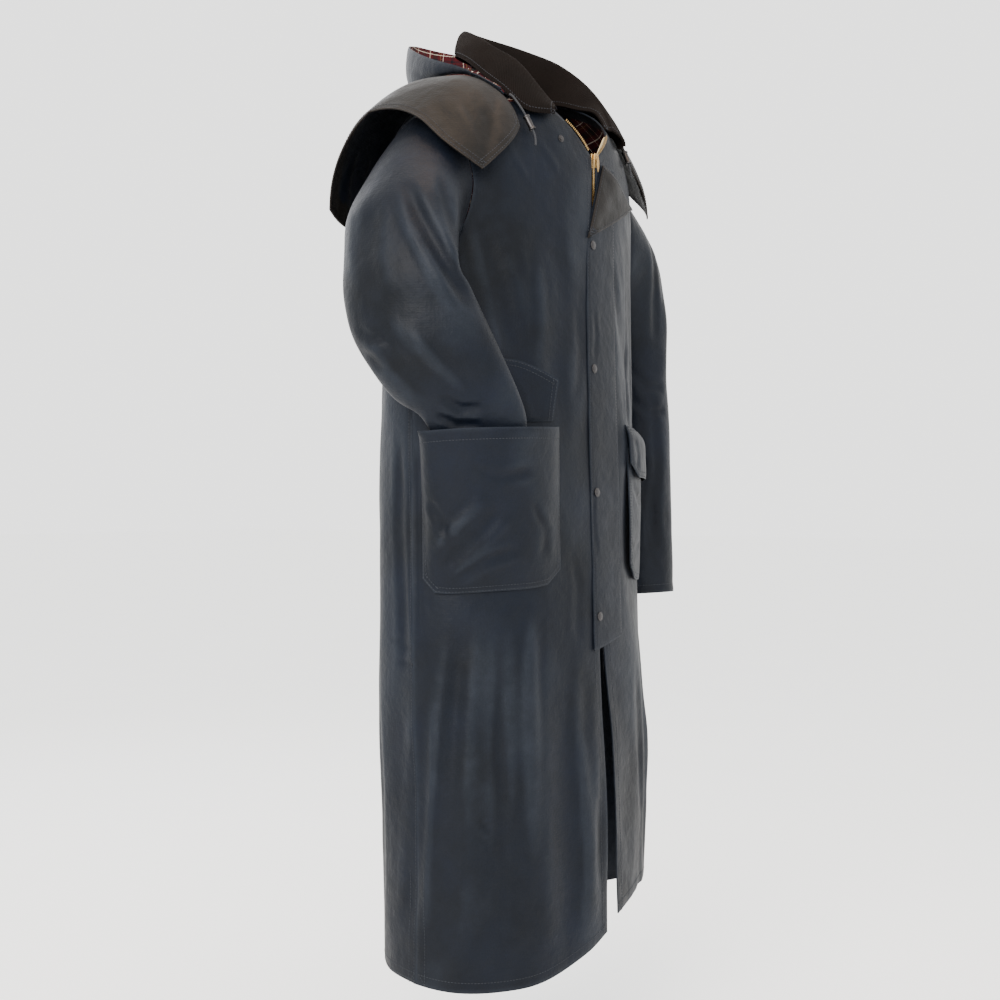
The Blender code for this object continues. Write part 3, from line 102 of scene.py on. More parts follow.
# Creases by piece and by the azimuth that they are seen from: half width and depth in mm, a minus depth
# is a ridge, and the line's points in the frame of 1000 pixels. The photograph's own are at its azimuth.
CREASES = {
    ("body", -55): (
        (11, 5.0, (478, 222), (493, 256), (504, 288), (507, 318), (520, 372)),
        (9, -2.5, (470, 215), (478, 262), (488, 310), (500, 365)),
        (4, -0.9, (507, 142), (517, 160), (528, 182)),
        (4, -0.9, (533, 130), (546, 150), (561, 174)),
        (6, 2.0, (513, 248), (517, 262), (518, 278)),
        (12, 2.5, (555, 210), (560, 290), (556, 372), (566, 450)),
        (7, -1.5, (536, 240), (541, 320), (536, 400)),
        (5, 1.5, (576, 300), (580, 350), (574, 410)),
        (4, 1.6, (610, 250), (618, 330), (632, 400)),
        (4, 1.4, (625, 235), (630, 320), (636, 402)),
        (4, 1.6, (640, 215), (645, 300), (639, 402)),
        (5, 2.0, (606, 300), (612, 380), (622, 470)),
        (6, 2.6, (634, 408), (628, 480), (630, 560), (634, 612)),
        (4, 1.6, (640, 408), (645, 480), (644, 560)),
        (6, 2.0, (617, 420), (612, 500), (606, 590)),
        (9, -4.0, (531, 586), (529, 680), (531, 800), (530, 935)),
        (16, 5.5, (560, 690), (565, 780), (570, 860), (566, 958)),
        (8, -2.5, (578, 640), (576, 730), (588, 840), (590, 930)),
        (4, 1.2, (476, 820), (484, 829), (493, 838)),
        (4, 1.0, (480, 842), (490, 848)),
        (5, 3.0, (400, 425), (398, 520), (402, 600), (404, 690)),
        (5, 2.4, (416, 440), (412, 540), (416, 650)),
        (4, 2.0, (390, 640), (408, 648), (430, 645)),
        (4, 1.6, (394, 659), (412, 666), (428, 661)),
        (5, 1.6, (571, 555), (578, 583), (577, 645)),
        (6, 2.4, (600, 660), (603, 760), (598, 900)),
        (13, 5.0, (462, 612), (452, 720), (447, 850), (440, 965)),
        (8, 3.0, (500, 605), (497, 720), (503, 860), (500, 980)),
        (9, 4.0, (422, 690), (416, 810), (410, 940)),
        (6, -2.0, (436, 700), (430, 810), (424, 930)),
    ),
    ("body", 15): (
        (6, 2.2, (566, 240), (572, 330), (560, 440)),
        (8, 3.0, (590, 300), (596, 420), (586, 520)),
        (9, 3.4, (572, 740), (580, 850), (570, 960)),
        (7, -2.4, (600, 700), (606, 820), (596, 930)),
    ),
    ("body", 55): (
        (8, 3.2, (560, 330), (552, 430), (560, 520)),
        (6, 2.2, (590, 560), (600, 640), (594, 720)),
        (12, 4.6, (530, 640), (522, 760), (532, 930)),
        (9, 3.2, (470, 660), (476, 790), (466, 940)),
        (8, -3.0, (500, 620), (500, 780), (506, 950)),
    ),
    ("body", 120): (
        (9, 3.6, (520, 300), (512, 400), (524, 500)),
        (7, 2.6, (570, 330), (578, 430), (566, 560)),
        (5, 2.2, (470, 600), (505, 612), (545, 604)),
        (5, 1.8, (480, 622), (512, 628)),
        (12, 4.8, (480, 650), (472, 780), (484, 930)),
        (9, 3.6, (540, 640), (548, 770), (540, 940)),
        (7, -2.6, (512, 660), (508, 800), (516, 920)),
    ),
    ("body", 180): (
        (7, 2.4, (455, 330), (462, 430), (450, 540)),
        (8, 3.0, (560, 300), (550, 420), (562, 520)),
        (6, 2.0, (430, 600), (470, 610), (505, 602)),
        (5, 1.8, (520, 596), (560, 606), (598, 596)),
        (11, 4.4, (450, 660), (440, 800), (452, 950)),
        (10, 4.0, (575, 650), (586, 790), (574, 940)),
    ),
    ("body", -120): (
        (8, 3.0, (520, 330), (528, 420), (518, 540)),
        (6, 2.2, (470, 360), (462, 460), (474, 560)),
        (10, 4.2, (470, 650), (462, 780), (474, 930)),
        (8, 3.0, (540, 640), (552, 800), (544, 950)),
    ),
    ("sleeve_right", -55): (
        (9, 6.0, (403, 178), (414, 205), (430, 236), (455, 281), (474, 314)),
        (8, -3.0, (393, 196), (408, 232), (430, 274), (452, 312)),
        (11, 3.4, (372, 196), (367, 250), (372, 302)),
        (5, -1.4, (350, 205), (349, 250), (352, 290)),
        (6, 2.0, (436, 170), (446, 215), (458, 262)),
        (12, 4.0, (372, 318), (398, 362), (436, 396)),
        (8, -2.6, (400, 320), (432, 362), (470, 398)),
        (6, 3.2, (438, 397), (460, 409), (486, 408)),
        (5, 2.4, (432, 414), (455, 425), (482, 424)),
        (6, 3.0, (354, 328), (370, 338), (386, 336)),
        (5, 1.8, (352, 350), (372, 358), (384, 374)),
    ),
    ("sleeve_right", -125): (
        (9, 4.0, (520, 190), (500, 250), (508, 310)),
        (8, 3.0, (480, 220), (470, 280), (482, 330)),
        (7, 3.0, (450, 340), (490, 356), (530, 350)),
        (6, 2.4, (460, 372), (500, 384), (540, 376)),
        (6, 2.4, (470, 410), (510, 420), (546, 410)),
    ),
    ("sleeve_left", -55): (
        (7, 3.0, (652, 380), (658, 460), (652, 560)),
    ),
    ("sleeve_left", 0): (
        (8, 3.6, (700, 200), (714, 260), (720, 330)),
        (7, 3.0, (690, 350), (710, 372), (738, 374)),
        (6, 2.6, (692, 382), (712, 402), (740, 398)),
        (8, 3.0, (706, 420), (712, 500), (722, 570)),
    ),
    ("sleeve_left", 60): (
        (10, 4.4, (520, 190), (535, 260), (528, 330)),
        (8, 3.4, (486, 340), (520, 360), (556, 352)),
        (7, 3.0, (490, 376), (526, 392), (560, 382)),
        (6, 2.2, (500, 412), (530, 420), (556, 410)),
        (8, 3.0, (506, 440), (514, 510), (508, 580)),
        (7, -2.4, (540, 430), (546, 500), (540, 570)),
    ),
    ("sleeve_left", 120): (
        (10, 4.4, (500, 200), (486, 270), (494, 340)),
        (8, 3.2, (460, 350), (492, 366), (530, 358)),
        (7, 2.6, (462, 388), (500, 400), (532, 390)),
        (8, 3.0, (486, 440), (480, 510), (490, 580)),
    ),
    ("cape", -55): (
        (9, 2.2, (430, 96), (447, 122), (464, 156)),
        (7, 1.8, (470, 92), (486, 118), (494, 146)),
        (6, -1.6, (452, 96), (468, 124), (480, 156)),
        (7, 2.0, (392, 104), (372, 112), (356, 134)),
        (5, 1.6, (350, 150), (344, 180), (342, 205)),
    ),
    ("cape", -125): (
        (9, 3.2, (450, 110), (440, 150), (446, 200)),
        (8, 2.6, (510, 110), (516, 160), (508, 215)),
        (7, -2.2, (480, 120), (478, 170), (484, 210)),
    ),
    ("cape", 180): (
        (9, 2.8, (440, 130), (434, 180), (442, 225)),
        (8, 2.8, (520, 120), (526, 170), (518, 228)),
        (7, -2.2, (570, 130), (578, 180), (570, 220)),
    ),
    ("cape", 120): (
        (9, 3.0, (500, 110), (508, 160), (500, 215)),
        (7, 2.2, (550, 110), (560, 150), (552, 190)),
    ),
    ("cape", 40): (
        (8, 2.2, (560, 100), (572, 130), (580, 158)),
    ),
    ("pocket_right", -55): (
        (9, 4.6, (437, 575), (456, 556), (482, 532), (506, 504)),
        (7, -2.6, (428, 556), (446, 536), (470, 512), (486, 492)),
        (6, 2.6, (452, 581), (484, 562), (522, 548)),
        (6, 2.2, (468, 468), (500, 478), (534, 470)),
        (6, 3.0, (424, 496), (438, 518), (450, 546)),
        (5, 1.8, (530, 500), (545, 530), (543, 562)),
    ),
    ("pocket_right", -110): (
        (7, 3.0, (560, 470), (556, 520), (566, 560)),
    ),
    ("pocket_left", 40): (
        (7, 2.6, (500, 480), (530, 500), (560, 496)),
        (6, 2.0, (480, 540), (510, 556), (548, 548)),
    ),
    ("flap_down", 40): (
        (6, 1.6, (500, 430), (508, 450), (504, 470)),
        (5, 1.2, (560, 432), (556, 452), (560, 472)),
    ),
    ("flap_up", -55): (
        (5, 1.4, (508, 372), (520, 396), (524, 428)),
    ),
    ("lapel", -55): (
        (6, 1.2, (604, 176), (612, 196), (616, 214)),
    ),
    ("flap", -10): (
        (5, 1.0, (524, 300), (528, 330), (524, 360)),
        (5, 1.0, (520, 480), (516, 520), (522, 560)),
    ),
    ("hood", -55): (
        (6, 1.6, (412, 70), (424, 78), (440, 80)),
    ),
    ("hood", 180): (
        (7, 2.0, (470, 90), (476, 110), (470, 124)),
        (6, 1.6, (540, 86), (534, 106), (540, 122)),
    ),
}
CREASE_SHOULDER = 0.35  # how much the cloth rises beside a crease
CREASE_FACING = (0.05, 0.35)  # how squarely cloth has to face the viewer to take a crease
CREASE_FADE = 0.22  # the share of a crease's length that it fades over, at each end
RIPPLE = {"body": 1.0, "sleeve_right": 1.0, "sleeve_left": 1.0, "cape": 0.9, "pocket_right": 0.8,
          "pocket_left": 0.5, "hood": 0.4, "collar": 0.5, "flap": 0.35, "lapel": 0.4,
          "flap_up": 0.5, "flap_down": 0.4}
# The waves of the cloth's unevenness: radians for each metre along X, Y and Z, a start, and a height in mm.
RIPPLES = (
    (23.0, 9.0, 14.0, 0.4, 0.90), (-17.0, 26.0, 8.0, 1.9, 0.75), (41.0, -33.0, 19.0, 2.6, 0.50),
    (37.0, 44.0, -23.0, 4.1, 0.42), (-71.0, 58.0, 31.0, 0.9, 0.24), (88.0, 64.0, 47.0, 3.3, 0.20),
)
SEAM_DIP = 0.0009
SEAM_REACH = 0.0035
VENT_FADE = 0.04  # above the vent, the body's edges come to hold over this height
RUB_RISE = 260.0  # how much paler the cloth is rubbed for each metre that a ridge stands out
RUB_MOST = 0.55
RUB_EDGE = 0.0028

# Stitching: which edge of a piece, how far in from it, and how far apart the rows are.
Stitching = namedtuple("Stitching", "piece insets keep")
STITCH_PITCH = 0.0044
STITCH_LONG = 0.0031
STITCH_THICK = 0.00042
STITCH_FULL = 0.7  # the share of a stitch's length at its full thickness
STITCH_LIFT = 0.25
HEM_Z = -1.10
STITCHING = (
    Stitching("pocket_right", (0.0025, 0.0085), lambda p: p.z < -0.535),
    Stitching("pocket_right", (0.0150,), lambda p: p.z > -0.560),
    Stitching("pocket_left", (0.0025, 0.0085), lambda p: p.z < -0.535),
    Stitching("pocket_flap_right", (0.0025, 0.0085), lambda p: p.z > -0.505),
    Stitching("pocket_flap_left", (0.0025, 0.0085), lambda p: True),
    Stitching("storm_flap", (0.0030,), lambda p: True),
    Stitching("storm_flap_lapel", (0.0035,), lambda p: p.z > -0.245),
    Stitching("hood_cape", (0.0035, 0.0100), lambda p: abs(p.x) > 0.16 or p.z < -0.10),
    Stitching("collar", (0.0060,), lambda p: True),
    Stitching("front_right", (0.0140,), lambda p: p.z < HEM_Z or (p.x > -0.07 and p.z < -0.12)),
    Stitching("front_left", (0.0140,), lambda p: p.z < HEM_Z or (p.x < 0.07 and p.z < -0.12)),
    Stitching("back_right", (0.0140,), lambda p: p.z < HEM_Z or abs(p.x) < 0.02),
    Stitching("back_left", (0.0140,), lambda p: p.z < HEM_Z or abs(p.x) < 0.02),
    Stitching("back_right", (0.0040,), lambda p: p.x < -0.17),
    Stitching("back_left", (0.0040,), lambda p: p.x > 0.17),
    Stitching("sleeve_left", (0.0130,), lambda p: p.z < -0.72),
    Stitching("sleeve_right", (0.0130,), lambda p: p.z < -0.56),
)

CORD_WIDE = 0.003
CORD_ROUTE = (
    (0.1375, -0.0925, -0.0680),
    (0.1368, -0.0965, -0.0708),
    (0.1358, -0.1003, -0.0757),
    (0.1343, -0.1052, -0.0828),
    (0.1325, -0.1098, -0.0905),
    (0.1302, -0.1133, -0.0977),
    (0.1292, -0.1165, -0.1040),
    (0.1281, -0.1200, -0.1115),
    (0.1270, -0.1235, -0.1190),
    (0.1262, -0.1251, -0.1240),
    (0.1260, -0.1262, -0.1285),
    (0.1263, -0.1270, -0.1340),
    (0.1270, -0.1275, -0.1390),
)
LOCK_RADIUS = 0.0050
LOCK_LONG = 0.0225
LOCK_RUN = (10, 16)  # the cord's points that the lock lies along
SNAPS = ("snap_1", "snap_2", "snap_3", "snap_4")
SNAP_SINK = 0.0002
TOOTH_PITCH = 0.0030
TOOTH_BACK = 0.0012  # a tooth's root lies this far behind the zip's line
FLOOR_Z = -1.46
LIGHTS_AIM = -0.55
CAMERA_LENS = 54.6
CAMERA_PLACE = (-1.8114, -1.2489, VIEW_LEVEL)


def linear(code):
    """A hex colour as the shader wants it."""
    parts = [int(code[k:k + 2], 16) / 255 for k in (1, 3, 5)]
    return tuple(c / 12.92 if c <= 0.04045 else ((c + 0.055) / 1.055) ** 2.4 for c in parts) + (1.0,)


def set_inputs(tree, node, inputs):
    """Gives a node's inputs their values or links."""
    for name, value in inputs.items():
        if isinstance(value, bpy.types.NodeSocket):
            tree.links.new(value, node.inputs[name])
        else:
            node.inputs[name].default_value = value


def add_node(tree, kind, inputs=None, stops=None, **settings):
    """One shader node, with its settings, the values or links of its inputs, and a ramp's stops."""
    made = tree.nodes.new(kind)
    for name, value in settings.items():
        setattr(made, name, value)
    set_inputs(tree, made, inputs or {})
    if stops:
        ramp = made.color_ramp
        while len(ramp.elements) < len(stops):
            ramp.elements.new(1.0)
        for element, (place, colour) in zip(ramp.elements, stops):
            element.position = place
            element.color = linear(colour) if isinstance(colour, str) else (colour, colour, colour, 1.0)
    return made


def new_material(name):
    """An empty material and its tree, with the surface shader wired to the output."""
    made = bpy.data.materials.new(name)
    made.use_nodes = True
    tree = made.node_tree
    tree.nodes.clear()
    shader = add_node(tree, "ShaderNodeBsdfPrincipled")
    add_node(tree, "ShaderNodeOutputMaterial", {"Surface": shader.outputs["BSDF"]})
    return made, tree, shader


NOISE = "ShaderNodeTexNoise"
WAVE = "ShaderNodeTexWave"
RAMP = "ShaderNodeValToRGB"
MATHS = "ShaderNodeMath"
MIX = "ShaderNodeMix"
BUMP = "ShaderNodeBump"
SPLIT = "ShaderNodeSeparateXYZ"
PLACE = "ShaderNodeTexCoord"


def waxed_cotton(name, base, deep, bloom, pale):
    """Dry-waxed cotton canvas: a dull, dark, mottled face with a soft sheen, rubbed paler along ridges."""
    made, tree, shader = new_material(name)
    place = add_node(tree, PLACE).outputs["Object"]
    cloudy, patchy, grain, crush = (
        add_node(tree, NOISE, {"Vector": place, "Scale": scale, "Detail": detail, "Roughness": rough})
        .outputs["Fac"] for scale, detail, rough in
        ((7.0, 4.0, 0.6), (38.0, 5.0, 0.62), (620.0, 2.0, 0.6), (55.0, 4.0, 0.55)))
    clouds = add_node(tree, RAMP, {"Fac": cloudy}, ((0.35, 0.0), (0.68, 1.0)))
    blooms = add_node(tree, RAMP, {"Fac": patchy}, ((0.45, 0.0), (0.78, 0.75)))
    shades = add_node(tree, RAMP, {"Fac": grain}, ((0.30, 0.72), (0.70, 1.0)))
    rub = add_node(tree, "ShaderNodeAttribute", attribute_name="rub")
    uneven = add_node(tree, MATHS, {0: patchy, 1: 1.2, 2: 0.1}, operation="MULTIPLY_ADD")
    worn = add_node(tree, MATHS, {0: rub.outputs["Fac"], 1: uneven.outputs[0]}, operation="MULTIPLY")
    tone = linear(deep)
    for share, over in ((clouds.outputs["Color"], base), (blooms.outputs["Color"], bloom),
                        (worn.outputs[0], pale)):
        tone = add_node(tree, MIX, {0: share, 6: tone, 7: linear(over)}, data_type="RGBA").outputs[2]
    grained = add_node(tree, MIX, {0: 1.0, 6: tone, 7: shades.outputs["Color"]},
                       data_type="RGBA", blend_type="MULTIPLY")
    rough = add_node(tree, MATHS, {0: patchy, 1: 0.22, 2: 0.40}, operation="MULTIPLY_ADD")
    # Threads are about 0.5 mm apart; they are drawn at 1.6 mm so that they show.
    across, along = (
        add_node(tree, WAVE, {"Vector": place, "Scale": 100.0, "Distortion": 1.2}, bands_direction=way)
        .outputs["Fac"] for way in "XZ")
    weave = add_node(tree, MATHS, {0: across, 1: along}, operation="ADD")
    bump = add_node(tree, BUMP, {"Height": weave.outputs[0], "Strength": 0.10, "Distance": 0.0004})
    for height, strength, distance in ((grain, 0.35, 0.0005), (crush, 0.45, 0.0035)):
        bump = add_node(tree, BUMP, {"Height": height, "Strength": strength, "Distance": distance,
                                     "Normal": bump.outputs["Normal"]})
    set_inputs(tree, shader, {
        "Base Color": grained.outputs[2], "Roughness": rough.outputs[0], "Normal": bump.outputs["Normal"],
        "IOR": 1.47, "Specular IOR Level": 0.12, "Sheen Weight": 0.015, "Sheen Roughness": 0.45,
        "Sheen Tint": linear("#c9c6c4")})
    return made


TARTAN_BANDS = (
    (0.00, "#3b0f14"), (0.16, "#0f1016"), (0.23, "#3b0f14"), (0.27, "#0f1016"), (0.34, "#3b0f14"),
    (0.465, "#cfc6b6"), (0.492, "#3b0f14"), (0.60, "#0d1613"), (0.71, "#0f1016"), (0.76, "#3b0f14"),
    (0.845, "#77622e"), (0.857, "#3b0f14"), (0.93, "#cfc6b6"), (0.948, "#3b0f14"),
)
TARTAN_REPEAT = 0.046


def tartan_colour(tree):
    """A plain check in dark red, navy and green with fine pale lines, on the piece's own flat map."""
    flat = add_node(tree, "ShaderNodeUVMap", uv_map="cut")
    parts = add_node(tree, SPLIT, {"Vector": flat.outputs["UV"]})
    bands = []
    for axis in ("X", "Y"):
        count = add_node(tree, MATHS, {0: parts.outputs[axis], 1: TARTAN_REPEAT}, operation="DIVIDE")
        share = add_node(tree, MATHS, {0: count.outputs[0]}, operation="FRACT")
        ramp = add_node(tree, RAMP, {"Fac": share.outputs[0]}, TARTAN_BANDS)
        ramp.color_ramp.interpolation = "CONSTANT"
        bands.append(ramp.outputs["Color"])
    # A twill shows each set of threads over the other in fine slanting lines, drawn 2 mm apart.
    slant = add_node(tree, MATHS, {0: parts.outputs["X"], 1: parts.outputs["Y"]}, operation="ADD")
    twill = add_node(tree, MATHS, {0: slant.outputs[0], 1: 0.001}, operation="PINGPONG")
    over = add_node(tree, MATHS, {0: twill.outputs[0], 1: 1000.0}, operation="MULTIPLY")
    check = add_node(tree, MIX, {0: over.outputs[0], 6: bands[0], 7: bands[1]}, data_type="RGBA")
    return check.outputs[2], over.outputs[0]


def tartan(name):
    """Brushed cotton lining woven in a check."""
    made, tree, shader = new_material(name)
    colour, over = tartan_colour(tree)
    bump = add_node(tree, BUMP, {"Height": over, "Strength": 0.3, "Distance": 0.0003})
    set_inputs(tree, shader, {"Base Color": colour, "Normal": bump.outputs["Normal"], "Roughness": 0.86,
                              "IOR": 1.45, "Specular IOR Level": 0.12, "Sheen Weight": 0.03})
    return made


LINING_END = -0.74


def lined_inside(name, cloth):
    """The coat's inner face: checked lining down to the vent, bare dark cotton below."""
    made, tree, shader = new_material(name)
    colour, _ = tartan_colour(tree)
    place = add_node(tree, PLACE).outputs["Object"]
    height = add_node(tree, SPLIT, {"Vector": place})
    below = add_node(tree, MATHS, {0: height.outputs["Z"], 1: LINING_END}, operation="LESS_THAN")
    cloudy = add_node(tree, NOISE, {"Vector": place, "Scale": 40.0, "Detail": 4.0, "Roughness": 0.5})
    grain = add_node(tree, NOISE, {"Vector": place, "Scale": 300.0, "Detail": 2.0, "Roughness": 0.5})
    mottle = add_node(tree, MIX, {0: cloudy.outputs["Fac"], 6: linear("#0c0f14"), 7: linear(cloth)},
                      data_type="RGBA")
    face = add_node(tree, MIX, {0: below.outputs[0], 6: colour, 7: mottle.outputs[2]}, data_type="RGBA")
    bump = add_node(tree, BUMP, {"Height": grain.outputs["Fac"], "Strength": 0.3, "Distance": 0.0005})
    set_inputs(tree, shader, {"Base Color": face.outputs[2], "Normal": bump.outputs["Normal"],
                              "Roughness": 0.8, "IOR": 1.45, "Specular IOR Level": 0.15})
    return made


def corduroy(name, pile, groove):
    """Fine cord: soft ribs 2.4 mm apart across the collar, with painted shade dark in the grooves and the
    pile's colour on the tops.
    """
    made, tree, shader = new_material(name)
    flat = add_node(tree, "ShaderNodeUVMap", uv_map="cut")
    place = add_node(tree, PLACE).outputs["Object"]
    parts = add_node(tree, SPLIT, {"Vector": flat.outputs["UV"]})
    swing = add_node(tree, MATHS, {0: parts.outputs["X"], 1: 0.0012}, operation="PINGPONG")
    share = add_node(tree, MATHS, {0: swing.outputs[0], 1: 833.0}, operation="MULTIPLY")
    rib = add_node(tree, MATHS, {0: share.outputs[0], 1: 0.6}, operation="POWER")
    patchy = add_node(tree, NOISE, {"Vector": place, "Scale": 30.0, "Detail": 5.0, "Roughness": 0.6})
    hairy = add_node(tree, NOISE, {"Vector": place, "Scale": 500.0, "Detail": 2.0, "Roughness": 0.5})
    piled = add_node(tree, MIX, {0: patchy.outputs["Fac"], 6: linear(pile), 7: linear("#15100e")},
                     data_type="RGBA")
    # Painted shade: the grooves between the ribs take the dark groove colour.
    groove_shaded = add_node(tree, MIX, {0: rib.outputs[0], 6: linear(groove), 7: piled.outputs[2]},
                      data_type="RGBA")
    ribs = add_node(tree, BUMP, {"Height": rib.outputs[0], "Strength": 0.7, "Distance": 0.0008})
    nap = add_node(tree, BUMP, {"Height": hairy.outputs["Fac"], "Strength": 0.3, "Distance": 0.0004,
                                "Normal": ribs.outputs["Normal"]})
    set_inputs(tree, shader, {
        "Base Color": groove_shaded.outputs[2], "Normal": nap.outputs["Normal"], "Roughness": 0.92, "IOR": 1.45,
        "Specular IOR Level": 0.06, "Sheen Weight": 0.02, "Sheen Roughness": 0.35,
        "Sheen Tint": linear("#b09a8c")})
    return made


def woven_tape(name, colour, shade, scale):
    """Close-woven tape or braided cord."""
    made, tree, shader = new_material(name)
    place = add_node(tree, PLACE).outputs["Object"]
    weave = add_node(tree, WAVE, {"Vector": place, "Scale": scale, "Distortion": 0.6},
                     bands_direction="DIAGONAL")
    threads = add_node(tree, MIX, {0: weave.outputs["Fac"], 6: linear(shade), 7: linear(colour)},
                       data_type="RGBA")
    bump = add_node(tree, BUMP, {"Height": weave.outputs["Fac"], "Strength": 0.4, "Distance": 0.0003})
    set_inputs(tree, shader, {"Base Color": threads.outputs[2], "Normal": bump.outputs["Normal"],
                              "Roughness": 0.8, "IOR": 1.45})
    return made


def metal(name, colour, dull, rough):
    """Cast or stamped metal, tumbled smooth, duller where it isn't handled."""
    made, tree, shader = new_material(name)
    place = add_node(tree, PLACE).outputs["Object"]
    worn = add_node(tree, NOISE, {"Vector": place, "Scale": 420.0, "Detail": 4.0, "Roughness": 0.6})
    tone = add_node(tree, MIX, {0: worn.outputs["Fac"], 6: linear(dull), 7: linear(colour)}, data_type="RGBA")
    blur = add_node(tree, MATHS, {0: worn.outputs["Fac"], 1: 0.2, 2: rough}, operation="MULTIPLY_ADD")
    bump = add_node(tree, BUMP, {"Height": worn.outputs["Fac"], "Strength": 0.12, "Distance": 0.0002})
    set_inputs(tree, shader, {"Base Color": tone.outputs[2], "Roughness": blur.outputs[0],
                              "Normal": bump.outputs["Normal"], "Metallic": 1.0})
    return made


MATERIALS = {}


def make_materials():
    """Every finish, from the colours in the panel."""
    look = bpy.context.scene.coat_colours
    MATERIALS["waxed"] = waxed_cotton("dry waxed cotton", look.cloth, "#05080e", "#0d1118", "#22272f")
    # A browner copy of the waxed cotton for the up-facing cape and lapel: its brown is painted warm sheen,
    # standing in for the warm top light on the wax.
    MATERIALS["waxed_painted_warm_sheen"] = waxed_cotton("dry waxed cotton, painted warm sheen", "#12100f", "#0b0a09", "#181513",
                                           "#2a2522")
    MATERIALS["lined"] = lined_inside("lined inner face", look.cloth)
    # 050404 is the painted shade in the cord's grooves.
    MATERIALS["corduroy"] = corduroy("fine cord", look.collar, "#050404")
    MATERIALS["tartan"] = tartan("checked brushed cotton")
    MATERIALS["tape"] = woven_tape("cotton zip tape", look.tape, "#a2906a", 160.0)
    MATERIALS["cord"] = woven_tape("braided cord", "#22252b", "#0c0d10", 210.0)
    MATERIALS["thread"] = woven_tape("sewing thread", "#1d2129", "#101319", 300.0)
    MATERIALS["brass"] = metal("tumbled brass", "#b59562", "#6f5836", 0.28)
    MATERIALS["nickel"] = metal("dark nickel plate", "#4a4846", "#26252a", 0.28)


def toward(azimuth):
    """The level direction from the coat to a viewer at this azimuth."""
    angle = math.radians(azimuth)
    return np.array((math.sin(angle), -math.cos(angle), 0.0))


def seen_from(points, azimuth):
    """Where points fall in the frame of 1000 pixels for a viewer at this azimuth, and the scale there."""
    angle = math.radians(azimuth)
    across = points @ np.array((math.cos(angle), math.sin(angle), 0.0))
    near = points @ toward(azimuth)
    scale = VIEW_SCALE * VIEW_DISTANCE / (VIEW_DISTANCE - near)
    return np.stack((VIEW_CENTRE + across * scale, 500 - (points[:, 2] - VIEW_LEVEL) * scale), 1), scale


def ease(values, low, high):
    """A smooth step from 0 at low to 1 at high."""
    share = np.clip((values - low) / (high - low), 0, 1)
    return share * share * (3 - 2 * share)


def crease_height(points, normals, piece):
    """How far the creases of a piece move each point outwards, in metres."""
    total = np.zeros(len(points))
    for (owner, azimuth), creases in CREASES.items():
        if owner != piece:
            continue
        flat, scale = seen_from(points, azimuth)
        facing = ease(normals @ toward(azimuth), *CREASE_FACING)
        for half_width, depth, *line in creases:
            line = np.array(line, float)
            steps = np.linalg.norm(np.diff(line, axis=0), axis=1)
            runs = np.concatenate(((0.0,), np.cumsum(steps)))
            best = np.full(len(points), 1e9)
            at = np.zeros(len(points))
            for k, step in enumerate(steps):
                way = (line[k + 1] - line[k]) / step
                reach = np.clip((flat - line[k]) @ way, 0, step)
                far = np.linalg.norm(flat - line[k] - reach[:, None] * way, axis=1)
                nearer = far < best
                best = np.where(nearer, far, best)
                at = np.where(nearer, runs[k] + reach, at)
            share = at / runs[-1]
            swell = 0.75 + 0.45 * np.sin(share * 2.4 + half_width) * np.cos(share * 5.1 + depth)
            width = half_width / 1000 * scale * (0.85 + 0.3 * share)
            away = best / width
            shape = np.exp(-away ** 2) - CREASE_SHOULDER * np.exp(-((away - 1.7) / 0.8) ** 2)
            # Past an end the nearest point is the end itself, so the ends fade to nothing.
            ends = ease(share, 0.0, CREASE_FADE) * ease(1 - share, 0.0, CREASE_FADE)
            total -= depth / 1000 * shape * ends * swell * facing
    return total


def ripple_height(points, size):
    """The cloth's own soft unevenness, the same each run."""
    total = np.zeros(len(points))
    for x, y, z, start, high in RIPPLES:
        bend = 0.9 * np.sin(points @ np.array((y, z, x)) * 0.37 + start * 2)
        total += high / 1000 * np.sin(points @ np.array((x, y, z)) + start + bend)
    return total * size


def add_object(name, data):
    """A new object in the scene."""
    made = bpy.data.objects.new(name, data)
    bpy.context.scene.collection.objects.link(made)
    return made


def open_mesh(mesh):
    """A working copy of a mesh."""
    work = bmesh.new()
    work.from_mesh(mesh)
    return work


def write_mesh(work, mesh):
    """Puts a working copy back into its mesh."""
    work.to_mesh(mesh)
    work.free()


def clear_selection():
    if bpy.context.object and bpy.context.object.mode != "OBJECT":
        bpy.ops.object.mode_set(mode="OBJECT")
    bpy.ops.object.select_all(action="DESELECT")


def select_only(made):
    clear_selection()
    made.select_set(True)
    bpy.context.view_layer.objects.active = made


def apply_modifier(made, name, kind, **settings):
    """Adds one modifier and applies it."""
    select_only(made)
    modifier = made.modifiers.new(name, kind)
    for key, value in settings.items():
        setattr(modifier, key, value)
    bpy.ops.object.modifier_apply(modifier=name)


